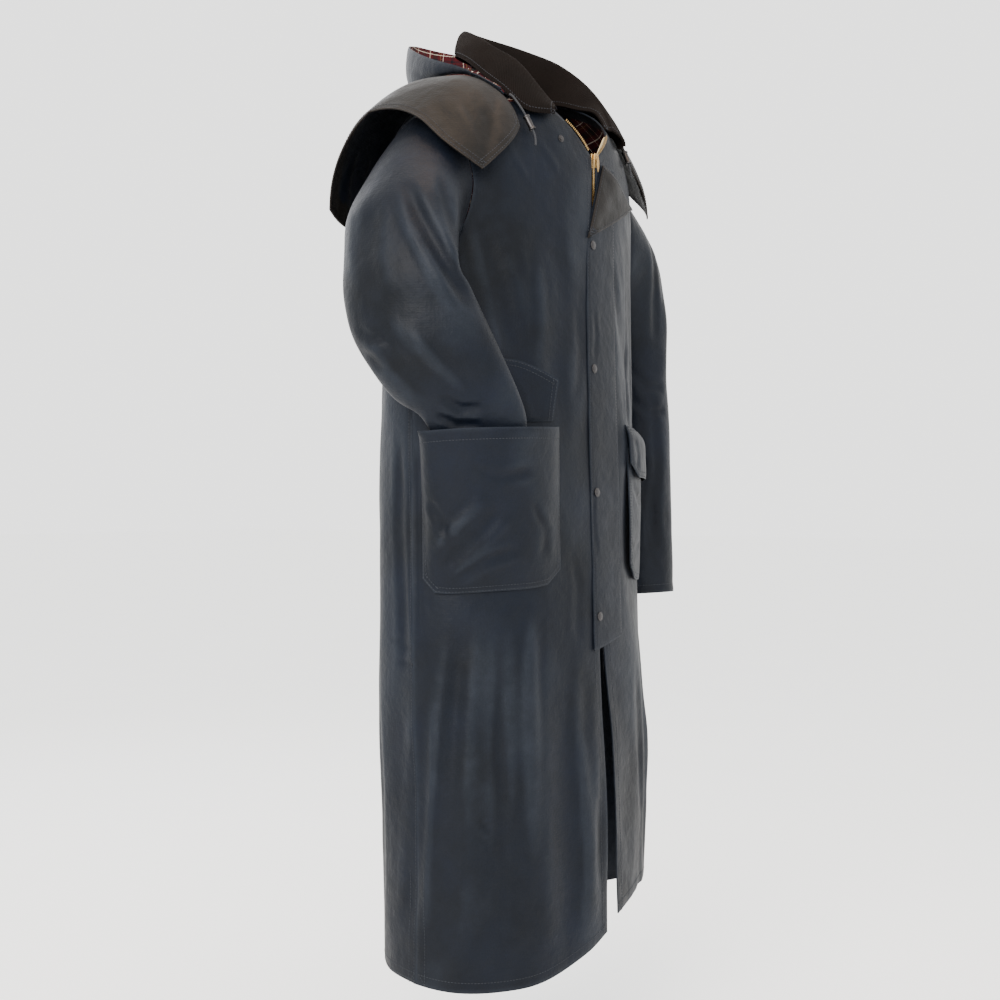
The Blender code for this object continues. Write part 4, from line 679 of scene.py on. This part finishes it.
def outer_sheet(row):
    """The outer face of a sewn piece, taken from a merged copy of its solid."""
    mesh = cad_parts[row.node].data.copy()
    mesh.materials.clear()
    made = add_object(f"{row.node}_cloth", mesh)
    work = open_mesh(mesh)
    bmesh.ops.remove_doubles(work, verts=work.verts, dist=1e-5)
    rims = {f for e in work.edges if e.calc_length() < row.wall * RIM_SHARE for f in e.link_faces}
    bmesh.ops.delete(work, geom=list(rims), context="FACES")
    shells, left = [], set(work.faces)
    while left:
        shell, wave = set(), {left.pop()}
        while wave:
            shell |= wave
            left -= wave
            wave = {g for f in wave for e in f.edges for g in e.link_faces if g in left}
        shells.append(shell)
    centre = sum((v.co for v in work.verts), Vector()) / len(work.verts)
    if row.node not in OWN_CENTRE:
        centre = Vector((0, 0, centre.z))

    def facing(shell):
        return sum(f.calc_area() * f.normal.dot(f.calc_center_median() - centre) for f in shell)

    shells.sort(key=lambda shell: sum(f.calc_area() for f in shell))
    outer = max(shells[-2:], key=facing)
    bmesh.ops.delete(work, geom=[f for f in work.faces if f not in outer], context="FACES")
    loose = [v for v in work.verts if not v.link_faces]
    bmesh.ops.delete(work, geom=loose, context="VERTS")
    bmesh.ops.join_triangles(work, faces=work.faces, angle_face_threshold=1.2, angle_shape_threshold=1.6)
    write_mesh(work, mesh)
    return made


def mesh_arrays(mesh):
    points = np.empty(len(mesh.vertices) * 3)
    normals = np.empty(len(mesh.vertices) * 3)
    mesh.vertices.foreach_get("co", points)
    mesh.vertices.foreach_get("normal", normals)
    return points.reshape(-1, 3), normals.reshape(-1, 3)


def edge_distance(mesh):
    """How far each point lies from the sheet's own edge."""
    counts = np.zeros(len(mesh.edges), int)
    keys = {tuple(sorted(e.vertices)): k for k, e in enumerate(mesh.edges)}
    for polygon in mesh.polygons:
        for key in polygon.edge_keys:
            counts[keys[tuple(sorted(key))]] += 1
    rim = {v for k, e in enumerate(mesh.edges) if counts[k] == 1 for v in e.vertices}
    tree = KDTree(len(rim))
    for v in rim:
        tree.insert(mesh.vertices[v].co, v)
    tree.balance()
    return np.array([tree.find(v.co)[2] for v in mesh.vertices])


MAP_RADIUS = 0.15
MAP_SEAM = 0.02


def cut_map(made, box_map):
    """A flat map in metres: round the coat and up, or by the way each face looks."""
    mesh = made.data
    layer = mesh.uv_layers.new(name="cut")
    for polygon in mesh.polygons:
        look = [abs(c) for c in polygon.normal]
        for loop in polygon.loop_indices:
            p = mesh.vertices[mesh.loops[loop].vertex_index].co
            if not box_map:
                angle = math.atan2(p.x, -p.y)
                if polygon.center.y > 0 and abs(polygon.center.x) < MAP_SEAM:
                    angle = math.pi + math.atan2(-p.x, p.y) if polygon.center.x >= 0 else angle
                layer.data[loop].uv = (angle * MAP_RADIUS, p.z)
            elif look[0] >= max(look[1:]):
                layer.data[loop].uv = (p.y, p.z)
            elif look[1] >= look[2]:
                layer.data[loop].uv = (p.x, p.z)
            else:
                layer.data[loop].uv = (p.x, p.y)


SURFACES = {}
FACING_WIDE = 0.030  # the outer cloth is turned in this far along each lined edge
STAND_FROM = 0.85  # the stand starts this far round to the wearer's left, in radians from the front
STAND_DROP = 0.014  # the collar's stand goes on this far down inside the neckline
STAND_IN = 0.0045
STAND_WIDE = 0.012
NECK = Vector((0, -0.02))
JOIN_REACH = 0.030  # behind JOIN_FROM, the hood's lower edge comes down onto the cape from this far
JOIN_FROM = 0.055
# The pieces with cut corners, and how far from the coat's middle these are kept.
CUT_CORNERS = {"body": 0.01, "still": 0.01, "pocket_right": 1.0, "pocket_left": 1.0, "flap_up": 1.0,
               "flap_down": 1.0, "flap": 1.0, "lapel": 1.0, "cape": 1.0}
CORNER_TURN = math.radians(28)
SEAM_GAP = 0.0025


def lower_stand(made):
    """Carries the collar's sewn edge down inside the neckline, where it is stitched."""
    work = open_mesh(made.data)
    rim = {v for e in work.edges if e.is_boundary for v in e.verts}
    angles = {v: round(math.atan2(v.co.x - NECK.x, NECK.y - v.co.y), 1) for v in rim}
    nearest = {}
    for vert, angle in angles.items():
        nearest[angle] = min((vert.co.xy - NECK).length, nearest.get(angle, math.inf))
    for vert, angle in angles.items():
        away = vert.co.xy - NECK
        if away.length < nearest[angle] + STAND_WIDE and angle > STAND_FROM:
            vert.co.z -= STAND_DROP
            vert.co.xy -= away.normalized() * STAND_IN
    write_mesh(work, made.data)


def join_below(made, node):
    """Brings a sheet's lower edge down onto the piece that it is sewn to."""
    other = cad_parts[node].data
    tree = BVHTree.FromPolygons([v.co for v in other.vertices], [p.vertices[:] for p in other.polygons])
    work = open_mesh(made.data)
    rim = [e for e in work.edges if e.is_boundary]
    low = {v for e in rim if e.link_faces[0].calc_center_median().z > (e.verts[0].co.z + e.verts[1].co.z) / 2
           for v in e.verts}
    for vert in low:
        place, _, _, far = tree.find_nearest(vert.co)
        if vert.co.y > JOIN_FROM and far < JOIN_REACH and place.z < vert.co.z:
            vert.co = place
    write_mesh(work, made.data)


def keep_corners(made, widest):
    """Marks a sheet's sharp corners this near the middle, so that the smoothing leaves them."""
    work = open_mesh(made.data)
    layer = work.verts.layers.float.new("crease_vert")
    for vert in work.verts:
        ends = [e.other_vert(vert).co for e in vert.link_edges if e.is_boundary]
        if len(ends) == 2 and abs(vert.co.x) < widest:
            turn = (ends[0] - vert.co).angle(vert.co - ends[1])
            vert[layer] = float(turn > CORNER_TURN)
    write_mesh(work, made.data)


def close_middle(made):
    """Brings the two sides of the centre-back seam together, down to the vent."""
    for vert in made.data.vertices:
        if abs(vert.co.x) < SEAM_GAP and vert.co.y > 0 and vert.co.z > LINING_END:
            vert.co.x = 0


def turn_edges_in(made, chains):
    """Gives the inner face its outer cloth along the edges, as where a hem is turned in."""
    tree = KDTree(sum(len(chain) for chain in chains))
    for chain in chains:
        for place, _ in chain:
            tree.insert(place, 0)
    tree.balance()
    for polygon in made.data.polygons:
        if polygon.material_index == 1 and tree.find(polygon.center)[2] < FACING_WIDE:
            polygon.material_index = 0


def sewn_piece(row):
    """One piece of cloth: its solid's outer face, smoothed, creased, and given its wall."""
    made = outer_sheet(row)
    if row.node == "collar":
        lower_stand(made)
    if row.folds == "hood":
        join_below(made, "hood_cape")
    if row.folds in ("body", "still"):
        close_middle(made)
    if row.folds in CUT_CORNERS:
        keep_corners(made, CUT_CORNERS[row.folds])
    apply_modifier(made, "smooth", "SUBSURF", levels=row.levels, render_levels=row.levels,
                   boundary_smooth="PRESERVE_CORNERS")
    mesh = made.data
    points, normals = mesh_arrays(mesh)
    far = edge_distance(mesh)
    high = crease_height(points, normals, row.folds)
    high += ripple_height(points, RIPPLE.get(row.folds, 0.0))
    if row.hold:
        held = ease(far, 0.0, row.hold)
        if row.folds == "body":
            # Below the vent the long edges and the hem hang free.
            held = 1 - (1 - held) * ease(points[:, 2], LINING_END - VENT_FADE, LINING_END)
        high *= held
    if row.folds != "still":
        high -= SEAM_DIP * np.exp(-(far / SEAM_REACH) ** 2)
    mesh.vertices.foreach_set("co", (points + normals * high[:, None]).ravel())
    mesh.update()
    rub = np.clip(high * RUB_RISE, 0, RUB_MOST) + RUB_MOST * np.exp(-(far / RUB_EDGE) ** 2)
    layer = mesh.attributes.new("rub", "FLOAT", "POINT")
    layer.data.foreach_set("value", np.clip(rub, 0, 1).astype(np.float32))
    mesh.materials.append(MATERIALS[row.finish])
    mesh.materials.append(MATERIALS[row.inside])
    points, normals = mesh_arrays(mesh)
    SURFACES[row.node] = edge_chains(mesh), BVHTree.FromPolygons(
        [Vector(p) for p in points], [p.vertices[:] for p in mesh.polygons])
    cut_map(made, row.node in ("hood_lining", "hood"))
    apply_modifier(made, "wall", "SOLIDIFY", thickness=row.wall, offset=-1.0, use_even_offset=False,
                   use_rim=True, material_offset=1, material_offset_rim=0)
    if row.inside != row.finish:
        turn_edges_in(made, SURFACES[row.node][0])
    select_only(made)
    bpy.ops.object.shade_smooth_by_angle(angle=CLOTH_SMOOTH)
    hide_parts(row.node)
    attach(made, COAT)
    return made


def edge_chains(mesh):
    """The sheet's edge as closed chains of places, each with the way into the sheet."""
    work = open_mesh(mesh)
    work.normal_update()
    rim = {e for e in work.edges if e.is_boundary}
    chains = []
    while rim:
        # Each chain starts at its first edge in the mesh, so that every run lays the same stitches.
        first = min(rim, key=lambda edge: edge.index)
        rim.discard(first)
        start, at = first.verts
        chain = [(start, first), (at, first)]
        while at != start:
            following = [e for e in at.link_edges if e in rim]
            if not following:
                break
            edge = following[0]
            rim.discard(edge)
            at = edge.other_vert(at)
            chain.append((at, edge))
        spots = []
        for vert, edge in chain:
            face = edge.link_faces[0]
            run = (edge.verts[1].co - edge.verts[0].co).normalized()
            into = run.cross(face.normal).normalized()
            if into.dot(face.calc_center_median() - edge.verts[0].co) < 0:
                into.negate()
            spots.append((vert.co.copy(), into))
        chains.append(spots)
    work.free()
    return chains


def stitch_shape():
    """One stitch lying along X: six-sided, with pointed ends."""
    half = STITCH_LONG / 2
    points, faces = [], []
    for along in (-half * STITCH_FULL, half * STITCH_FULL):
        for k in range(6):
            angle = math.pi * k / 3
            points.append((along, STITCH_THICK * math.cos(angle), STITCH_THICK * math.sin(angle)))
    points += [(-half, 0, 0), (half, 0, 0)]
    for k in range(6):
        n = (k + 1) % 6
        faces += [(k, n, 6 + n, 6 + k), (12, n, k), (13, 6 + k, 6 + n)]
    return np.array(points), faces


def repeat_shape(name, shape, faces, spots):
    """One object with a copy of a small shape at each spot, turned by the spot's matrix."""
    points = [tuple(p) for turn, place in spots for p in shape @ turn + np.array(place)]
    copies = [tuple(k * len(shape) + v for v in face) for k in range(len(spots)) for face in faces]
    mesh = bpy.data.meshes.new(name)
    mesh.from_pydata(points, [], copies)
    mesh.update()
    return add_object(name, mesh)


def stitch_rows(name, rows):
    """The stitches of one piece as one object, each lying on its cloth."""
    stitches = []
    for row in rows:
        chains, tree = SURFACES[row.piece]
        for inset in row.insets:
            for chain in chains:
                spots = [(p + into * inset) if row.keep(p) else None for p, into in chain]
                wait = 0.0
                for first, second in zip(spots, spots[1:]):
                    if first is None or second is None:
                        wait = 0.0
                        continue
                    length = (second - first).length
                    if length < 1e-6:
                        continue
                    run = (second - first) / length
                    while wait < length:
                        place, out, _, _ = tree.find_nearest(first + run * wait)
                        lie = (run - out * run.dot(out)).normalized()
                        turn = np.array((lie, out.cross(lie), out))
                        stitches.append((turn, place + out * STITCH_THICK * STITCH_LIFT))
                        wait += STITCH_PITCH
                    wait -= length
    made = repeat_shape(name, *stitch_shape(), stitches)
    made.data.materials.append(MATERIALS["thread"])
    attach(made, COAT)
    return made


def select_faces(made, test):
    """In edit mode, selects only the faces that pass the test."""
    bpy.ops.object.mode_set(mode="EDIT")
    bpy.ops.mesh.select_mode(type="FACE")
    work = bmesh.from_edit_mesh(made.data)
    for face in work.faces:
        face.select_set(bool(test(face)))
    bmesh.update_edit_mesh(made.data)


def settle(made, name, matrix, material, replaced, body=COAT, smooth=35):
    """Puts a finished hard piece in its place and gives it its finish."""
    bpy.ops.object.mode_set(mode="OBJECT")
    made.name = name
    made.data.transform(matrix @ made.matrix_world)
    made.matrix_world = Matrix.Identity(4)
    made.data.materials.clear()
    made.data.materials.append(MATERIALS[material])
    select_only(made)
    bpy.ops.object.shade_smooth_by_angle(angle=math.radians(smooth))
    if replaced:
        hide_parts(replaced)
    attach(made, body)
    return made


def inset(*steps):
    """Insets the selected faces by each thickness and depth in turn."""
    for thickness, depth in steps:
        bpy.ops.mesh.inset(thickness=thickness, depth=depth)


def extrude(way):
    """Extrudes the selected faces."""
    bpy.ops.mesh.extrude_region_move(TRANSFORM_OT_translate={"value": way})


def round_edges(made, width):
    """Leaves edit mode and rounds a piece's sharp edges."""
    bpy.ops.object.mode_set(mode="OBJECT")
    apply_modifier(made, "edge", "BEVEL", width=width, segments=2, limit_method="ANGLE")


def upright(place, out):
    """A matrix that puts a piece's Z along out, at place."""
    return Matrix.Translation(place) @ Vector((0, 0, 1)).rotation_difference(out).to_matrix().to_4x4()


def snap_cap(name, place, out, radius):
    """A stamped snap cap: a rolled rim, a groove and a low dome."""
    clear_selection()
    bpy.ops.mesh.primitive_cylinder_add(vertices=32, radius=radius, depth=0.0012, location=(0, 0, 0.0006))
    made = bpy.context.object
    select_faces(made, lambda f: f.normal.z > 0.9)
    inset((radius * 0.10, 0.00025), (radius * 0.12, -0.00045), (radius * 0.10, 0.00055),
          (radius * 0.22, 0.00035), (radius * 0.26, 0.00012))
    round_edges(made, 0.00022)
    return settle(made, f"{name}_cap", upright(place, out), "nickel", name)


def snap_stud(name, place, out, radius):
    """The open snap: a flat ring with a round stud."""
    clear_selection()
    bpy.ops.mesh.primitive_cylinder_add(vertices=32, radius=radius, depth=0.0010, location=(0, 0, 0.0005))
    made = bpy.context.object
    select_faces(made, lambda f: f.normal.z > 0.9)
    inset((radius * 0.18, -0.0002), (radius * 0.26, 0.0001))
    extrude((0, 0, 0.0012))
    inset((radius * 0.10, 0.0003))
    round_edges(made, 0.00018)
    return settle(made, f"{name}_stud", upright(place, out), "nickel", name)


def cord_lock(name, place, run, radius, long):
    """A barrel-shaped cord lock with a waist and a button end."""
    clear_selection()
    bpy.ops.mesh.primitive_cylinder_add(vertices=28, radius=radius * 0.8, depth=long * 0.7)
    made = bpy.context.object
    for way in (1, -1):
        select_faces(made, lambda f: f.normal.z * way > 0.9)
        extrude((0, 0, way * long * 0.05))
        bpy.ops.transform.resize(value=(1.22, 1.22, 1))
        extrude((0, 0, way * long * 0.06))
        inset((radius * 0.28, 0.0004), (radius * 0.20, -0.0009))
        bpy.ops.object.mode_set(mode="OBJECT")
    round_edges(made, 0.0003)
    return settle(made, f"{name}_lock", upright(place, run), "nickel", name)


def finer(route):
    """The same smooth line with a point between each two of its points."""
    ends = [route[0] * 2 - route[1]] + route + [route[-1] * 2 - route[-2]]
    made = []
    for a, b, c, d in zip(ends, ends[1:], ends[2:], ends[3:]):
        made += [b, ((b + c) * 9 - a - d) / 16]
    return made + [route[-1]]


def node_line(node, axis):
    """The middle line of a square strip's solid, from its sections in order along an axis."""
    spots = {tuple(round(c, 5) for c in v.co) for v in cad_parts[node].data.vertices}
    ordered = sorted(spots, key=lambda p: p[axis])
    groups = [ordered[k:k + 4] for k in range(0, len(ordered) - 3, 4)]
    return [Vector([sum(p[c] for p in group) / 4 for c in range(3)]) for group in groups]


def along_line(line, pitch):
    """Places a pitch apart along a line, each with its direction."""
    places, carried = [], 0.0
    for a, b in zip(line, line[1:]):
        length = (b - a).length
        reach = carried
        while reach < length:
            places.append((a.lerp(b, reach / length), (b - a).normalized()))
            reach += pitch
        carried = reach - length
    return places


def tooth_mesh():
    """One moulded brass tooth, 3 mm long with a waist and a head, lying along X."""
    clear_selection()
    bpy.ops.mesh.primitive_cube_add(size=1.0)
    made = bpy.context.object
    made.data.transform(Matrix.Diagonal((0.0016, 0.0015, 0.0013, 1)))
    select_faces(made, lambda f: f.normal.x > 0.9)
    extrude((0.0008, 0, 0))
    bpy.ops.transform.resize(value=(1, 0.7, 0.7))
    extrude((0.0009, 0, 0))
    bpy.ops.transform.resize(value=(1, 1.5, 1.2))
    bpy.ops.object.mode_set(mode="OBJECT")
    points = np.array([v.co for v in made.data.vertices])
    faces = [p.vertices[:] for p in made.data.polygons]
    bpy.data.objects.remove(made)
    return points, faces


def teeth_row(name, line, sides, out):
    """A row of teeth along a line, leaning in from one side or from both by turns."""
    teeth = []
    for k, (place, run) in enumerate(along_line(line, TOOTH_PITCH / len(sides))):
        head = run.cross(out).normalized() * sides[k % len(sides)]
        up = head.cross(run).normalized()
        teeth.append((np.array((head, run, up)), place - head * TOOTH_BACK))
    made = repeat_shape(name, *tooth_mesh(), teeth)
    select_only(made)
    bpy.ops.object.mode_set(mode="EDIT")
    bpy.ops.mesh.select_all(action="SELECT")
    bpy.ops.mesh.normals_make_consistent(inside=False)
    return settle(made, name, Matrix.Identity(4), "brass", name.replace("_row", ""))


class CoatColours(bpy.types.PropertyGroup):
    cloth: bpy.props.StringProperty(
        name="Cloth", description="Hex colour of the waxed cotton", default="#090f1a")
    collar: bpy.props.StringProperty(
        name="Collar", description="Hex colour of the cord collar's pile", default="#0a0807")
    tape: bpy.props.StringProperty(
        name="Zip tape", description="Hex colour of the zip's woven tape", default="#cdbd97")


class CoatSizes(bpy.types.PropertyGroup):
    snap_radius: bpy.props.FloatProperty(
        name="Snap radius", description="Radius of a closed snap's cap", default=0.0062, unit="LENGTH")
    stud_radius: bpy.props.FloatProperty(
        name="Stud radius", description="Radius of the open snap", default=0.0050, unit="LENGTH")
    floor_size: bpy.props.FloatProperty(
        name="Floor", description="Side of the plain floor", default=60.0, unit="LENGTH")


class CoatOperator:
    bl_options = {"REGISTER", "UNDO"}


class COAT_OT_cords(CoatOperator, bpy.types.Operator):
    """The hood's two short cord ends with their locks"""
    bl_idname = "coat.cords"
    bl_label = "Hood cords"

    def execute(self, context):
        for side, word in ((-1, "right"), (1, "left")):
            route = finer([Vector((side * x, y, z)) for x, y, z in CORD_ROUTE])
            curve = bpy.data.curves.new(f"hood_cord_{word}_line", "CURVE")
            curve.dimensions = "3D"
            curve.bevel_depth = CORD_WIDE / 2
            curve.bevel_resolution = 4
            curve.use_fill_caps = True
            spline = curve.splines.new("POLY")
            spline.points.add(len(route) - 1)
            for spot, place in zip(spline.points, route):
                spot.co = (*place, 1.0)
            curve.materials.append(MATERIALS["cord"])
            line = add_object(f"hood_cord_{word}_line", curve)
            low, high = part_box(f"toggle_{word}")
            run = (route[LOCK_RUN[1]] - route[LOCK_RUN[0]]).normalized()
            lock = cord_lock(f"toggle_{word}", (low + high) / 2, run, LOCK_RADIUS, LOCK_LONG)
            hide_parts(f"hood_cord_{word}", f"hood_cord_end_{word}")
            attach(line, COAT)
        return {"FINISHED"}


class COAT_OT_cloth(CoatOperator, bpy.types.Operator):
    """Every sewn piece of cloth, with its stitching"""
    bl_idname = "coat.cloth"
    bl_label = "Cloth"

    def execute(self, context):
        for row in CLOTH:
            made = sewn_piece(row)
        for row in CLOTH:
            rows = [s for s in STITCHING if s.piece == row.node]
            if rows:
                stitches = stitch_rows(f"{row.node}_stitches", rows)
        return {"FINISHED"}


class COAT_OT_snaps(CoatOperator, bpy.types.Operator):
    """The closed snaps on the flap and the open one by the collar"""
    bl_idname = "coat.snaps"
    bl_label = "Snaps"

    def execute(self, context):
        sizes = context.scene.coat_sizes
        for name in SNAPS:
            low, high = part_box(name)
            place, out, _, _ = SURFACES["storm_flap"][1].find_nearest((low + high) / 2)
            snap_cap(name, place - out * SNAP_SINK, out, sizes.snap_radius)
        low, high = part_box("snap_open")
        place, out, _, _ = SURFACES["front_right"][1].find_nearest((low + high) / 2)
        snap_stud("snap_open", place - out * SNAP_SINK, out, sizes.stud_radius)
        return {"FINISHED"}


class COAT_OT_zip(CoatOperator, bpy.types.Operator):
    """The zip's teeth, slider and hinged pull"""
    bl_idname = "coat.zip"
    bl_label = "Zip"

    def execute(self, context):
        out = Vector((0, -1, 0))
        teeth_row("zip_teeth_closed_row", node_line("zip_teeth_closed", 2), (1, -1), out)
        teeth_row("zip_teeth_right_row", node_line("zip_teeth_right", 0), (1,), out)
        teeth_row("zip_teeth_left_row", node_line("zip_teeth_left", 0), (-1,), out)
        low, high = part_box("zip_slider")
        self.slider(low, high)
        low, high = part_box("zip_pull")
        self.pull(low, high)
        return {"FINISHED"}

    def slider(self, low, high):
        """Two cast plates on a neck, with a raised bridge for the pull."""
        size = high - low
        clear_selection()
        bpy.ops.mesh.primitive_cube_add(size=1.0)
        made = bpy.context.object
        made.data.transform(Matrix.Diagonal((size.x * 0.78, size.y * 0.20, size.z, 1)))
        made.data.transform(Matrix.Translation((0, -size.y * 0.32, 0)))
        select_faces(made, lambda f: f.normal.z > 0.9)
        bpy.ops.transform.resize(value=(1.28, 1, 1))
        select_faces(made, lambda f: f.normal.z < -0.9)
        bpy.ops.transform.resize(value=(0.85, 1, 1))
        bpy.ops.object.mode_set(mode="OBJECT")
        apply_modifier(made, "edge", "BEVEL", width=0.0008, segments=3)
        twin = add_object("zip_slider_back", made.data.copy())
        twin.data.transform(Matrix.Translation((0, size.y * 0.64, 0)))
        plates = [made, twin]
        clear_selection()
        bpy.ops.mesh.primitive_cube_add(size=1.0)
        neck = bpy.context.object
        neck.data.transform(Matrix.Diagonal((size.x * 0.26, size.y * 0.62, size.z * 0.34, 1)))
        neck.data.transform(Matrix.Translation((0, 0, size.z * 0.30)))
        plates.append(neck)
        clear_selection()
        bpy.ops.mesh.primitive_torus_add(major_radius=0.0030, minor_radius=0.00055, major_segments=24,
                                         minor_segments=10, rotation=(0, math.pi / 2, 0),
                                         location=(0, -size.y * 0.40, size.z * 0.20))
        plates.append(bpy.context.object)
        clear_selection()
        for piece in plates:
            piece.select_set(True)
        bpy.context.view_layer.objects.active = made
        bpy.ops.object.join()
        settle(bpy.context.object, "zip_slider_cast", Matrix.Translation((low + high) / 2), "brass",
               "zip_slider")

    def pull(self, low, high):
        """A flat drop-shaped pull, each face sunk a little inside a narrow border."""
        size = high - low
        clear_selection()
        bpy.ops.mesh.primitive_cylinder_add(vertices=32, radius=0.5, depth=1.0, rotation=(math.pi / 2, 0, 0))
        made = bpy.context.object
        bpy.ops.object.transform_apply(location=False, rotation=True, scale=False)
        made.data.transform(Matrix.Diagonal((size.x, size.y * 0.8, size.z, 1)))
        for vert in made.data.vertices:
            up = vert.co.z / size.z + 0.5
            vert.co.x *= 1.0 - 0.35 * (1 - up) + 0.25 * math.sin(math.pi * up)
            vert.co.x = max(-size.x / 2, min(size.x / 2, vert.co.x))
        for way in (1, -1):
            select_faces(made, lambda f: f.normal.y * way > 0.9)
            inset((0.0007, 0.0), (0.0003, -0.00022))
            bpy.ops.object.mode_set(mode="OBJECT")
        round_edges(made, 0.00015)
        settle(made, "zip_pull_tab", Matrix.Translation((low + high) / 2), "brass", "zip_pull",
               body="zip_pull")


class COAT_OT_stage(CoatOperator, bpy.types.Operator):
    """The pale floor, soft studio lights and the camera"""
    bl_idname = "coat.stage"
    bl_label = "Stage"

    def execute(self, context):
        size = context.scene.coat_sizes.floor_size
        clear_selection()
        bpy.ops.mesh.primitive_plane_add(size=size, location=(0, 0, FLOOR_Z))
        floor = bpy.context.object
        floor.name = "floor"
        made, tree, shader = new_material("pale studio floor")
        cloudy = add_node(tree, NOISE, {"Vector": add_node(tree, PLACE).outputs["Object"], "Scale": 3.0})
        tone = add_node(tree, MIX, {0: cloudy.outputs["Fac"], 6: linear("#fbfbfa"), 7: linear("#fefefd")},
                        data_type="RGBA")
        set_inputs(tree, shader, {"Base Color": tone.outputs[2], "Roughness": 0.9})
        floor.data.materials.append(made)
        world = bpy.data.worlds.new("soft studio")
        bpy.context.scene.world = world
        world.use_nodes = True
        back = world.node_tree.nodes["Background"]
        back.inputs["Color"].default_value = linear("#f4f4f3")
        back.inputs["Strength"].default_value = 2.6
        lights = (
            ("key", (-3.0, -0.9, 0.9), 1.8, 170.0, "#fffaf4"),
            ("top", (-0.45, -0.25, 1.3), 1.0, 20.0, "#ffd3a6"),
            ("fill", (1.5, -2.6, 0.3), 2.4, 3.0, "#eef3ff"),
            ("back", (0.9, 2.6, 1.0), 2.0, 30.0, "#f4f7ff"),
        )
        for name, place, wide, power, colour in lights:
            lamp = bpy.data.lights.new(name, "AREA")
            lamp.size = wide
            lamp.energy = power
            lamp.color = linear(colour)[:3]
            made = add_object(name, lamp)
            made.location = place
            aim = Vector((0, 0, LIGHTS_AIM)) - Vector(place)
            made.rotation_euler = aim.to_track_quat("-Z", "Y").to_euler()
        camera = bpy.data.cameras.new("camera")
        camera.lens = CAMERA_LENS
        camera.sensor_width = 36
        made = add_object("camera", camera)
        made.location = CAMERA_PLACE
        made.rotation_euler = (math.pi / 2, 0, math.radians(PHOTO_AZIMUTH))
        bpy.context.scene.camera = made
        return {"FINISHED"}


OPERATORS = (COAT_OT_stage, COAT_OT_cords, COAT_OT_cloth, COAT_OT_snaps, COAT_OT_zip)


class COAT_PT_panel(bpy.types.Panel):
    """Lists the coat's pieces, colours and sizes"""
    bl_idname = "COAT_PT_panel"
    bl_label = "Coat"
    bl_space_type = "VIEW_3D"
    bl_region_type = "UI"
    bl_category = "Coat"

    def draw(self, context):
        for kind in OPERATORS:
            self.layout.operator(kind.bl_idname)
        for name in ("cloth", "collar", "tape"):
            self.layout.prop(context.scene.coat_colours, name)
        for name in ("snap_radius", "stud_radius", "floor_size"):
            self.layout.prop(context.scene.coat_sizes, name)


CLASSES = (CoatColours, CoatSizes) + OPERATORS + (COAT_PT_panel,)


def register():
    for kind in CLASSES:
        bpy.utils.register_class(kind)
    bpy.types.Scene.coat_colours = bpy.props.PointerProperty(type=CoatColours)
    bpy.types.Scene.coat_sizes = bpy.props.PointerProperty(type=CoatSizes)


def unregister():
    del bpy.types.Scene.coat_colours
    del bpy.types.Scene.coat_sizes
    for kind in reversed(CLASSES):
        bpy.utils.unregister_class(kind)


def main():
    register()
    make_materials()
    bpy.ops.coat.stage()
    bpy.ops.coat.cords()
    bpy.ops.coat.cloth()
    bpy.ops.coat.snaps()
    bpy.ops.coat.zip()
    clear_selection()


if __name__ == "__main__":
    main()
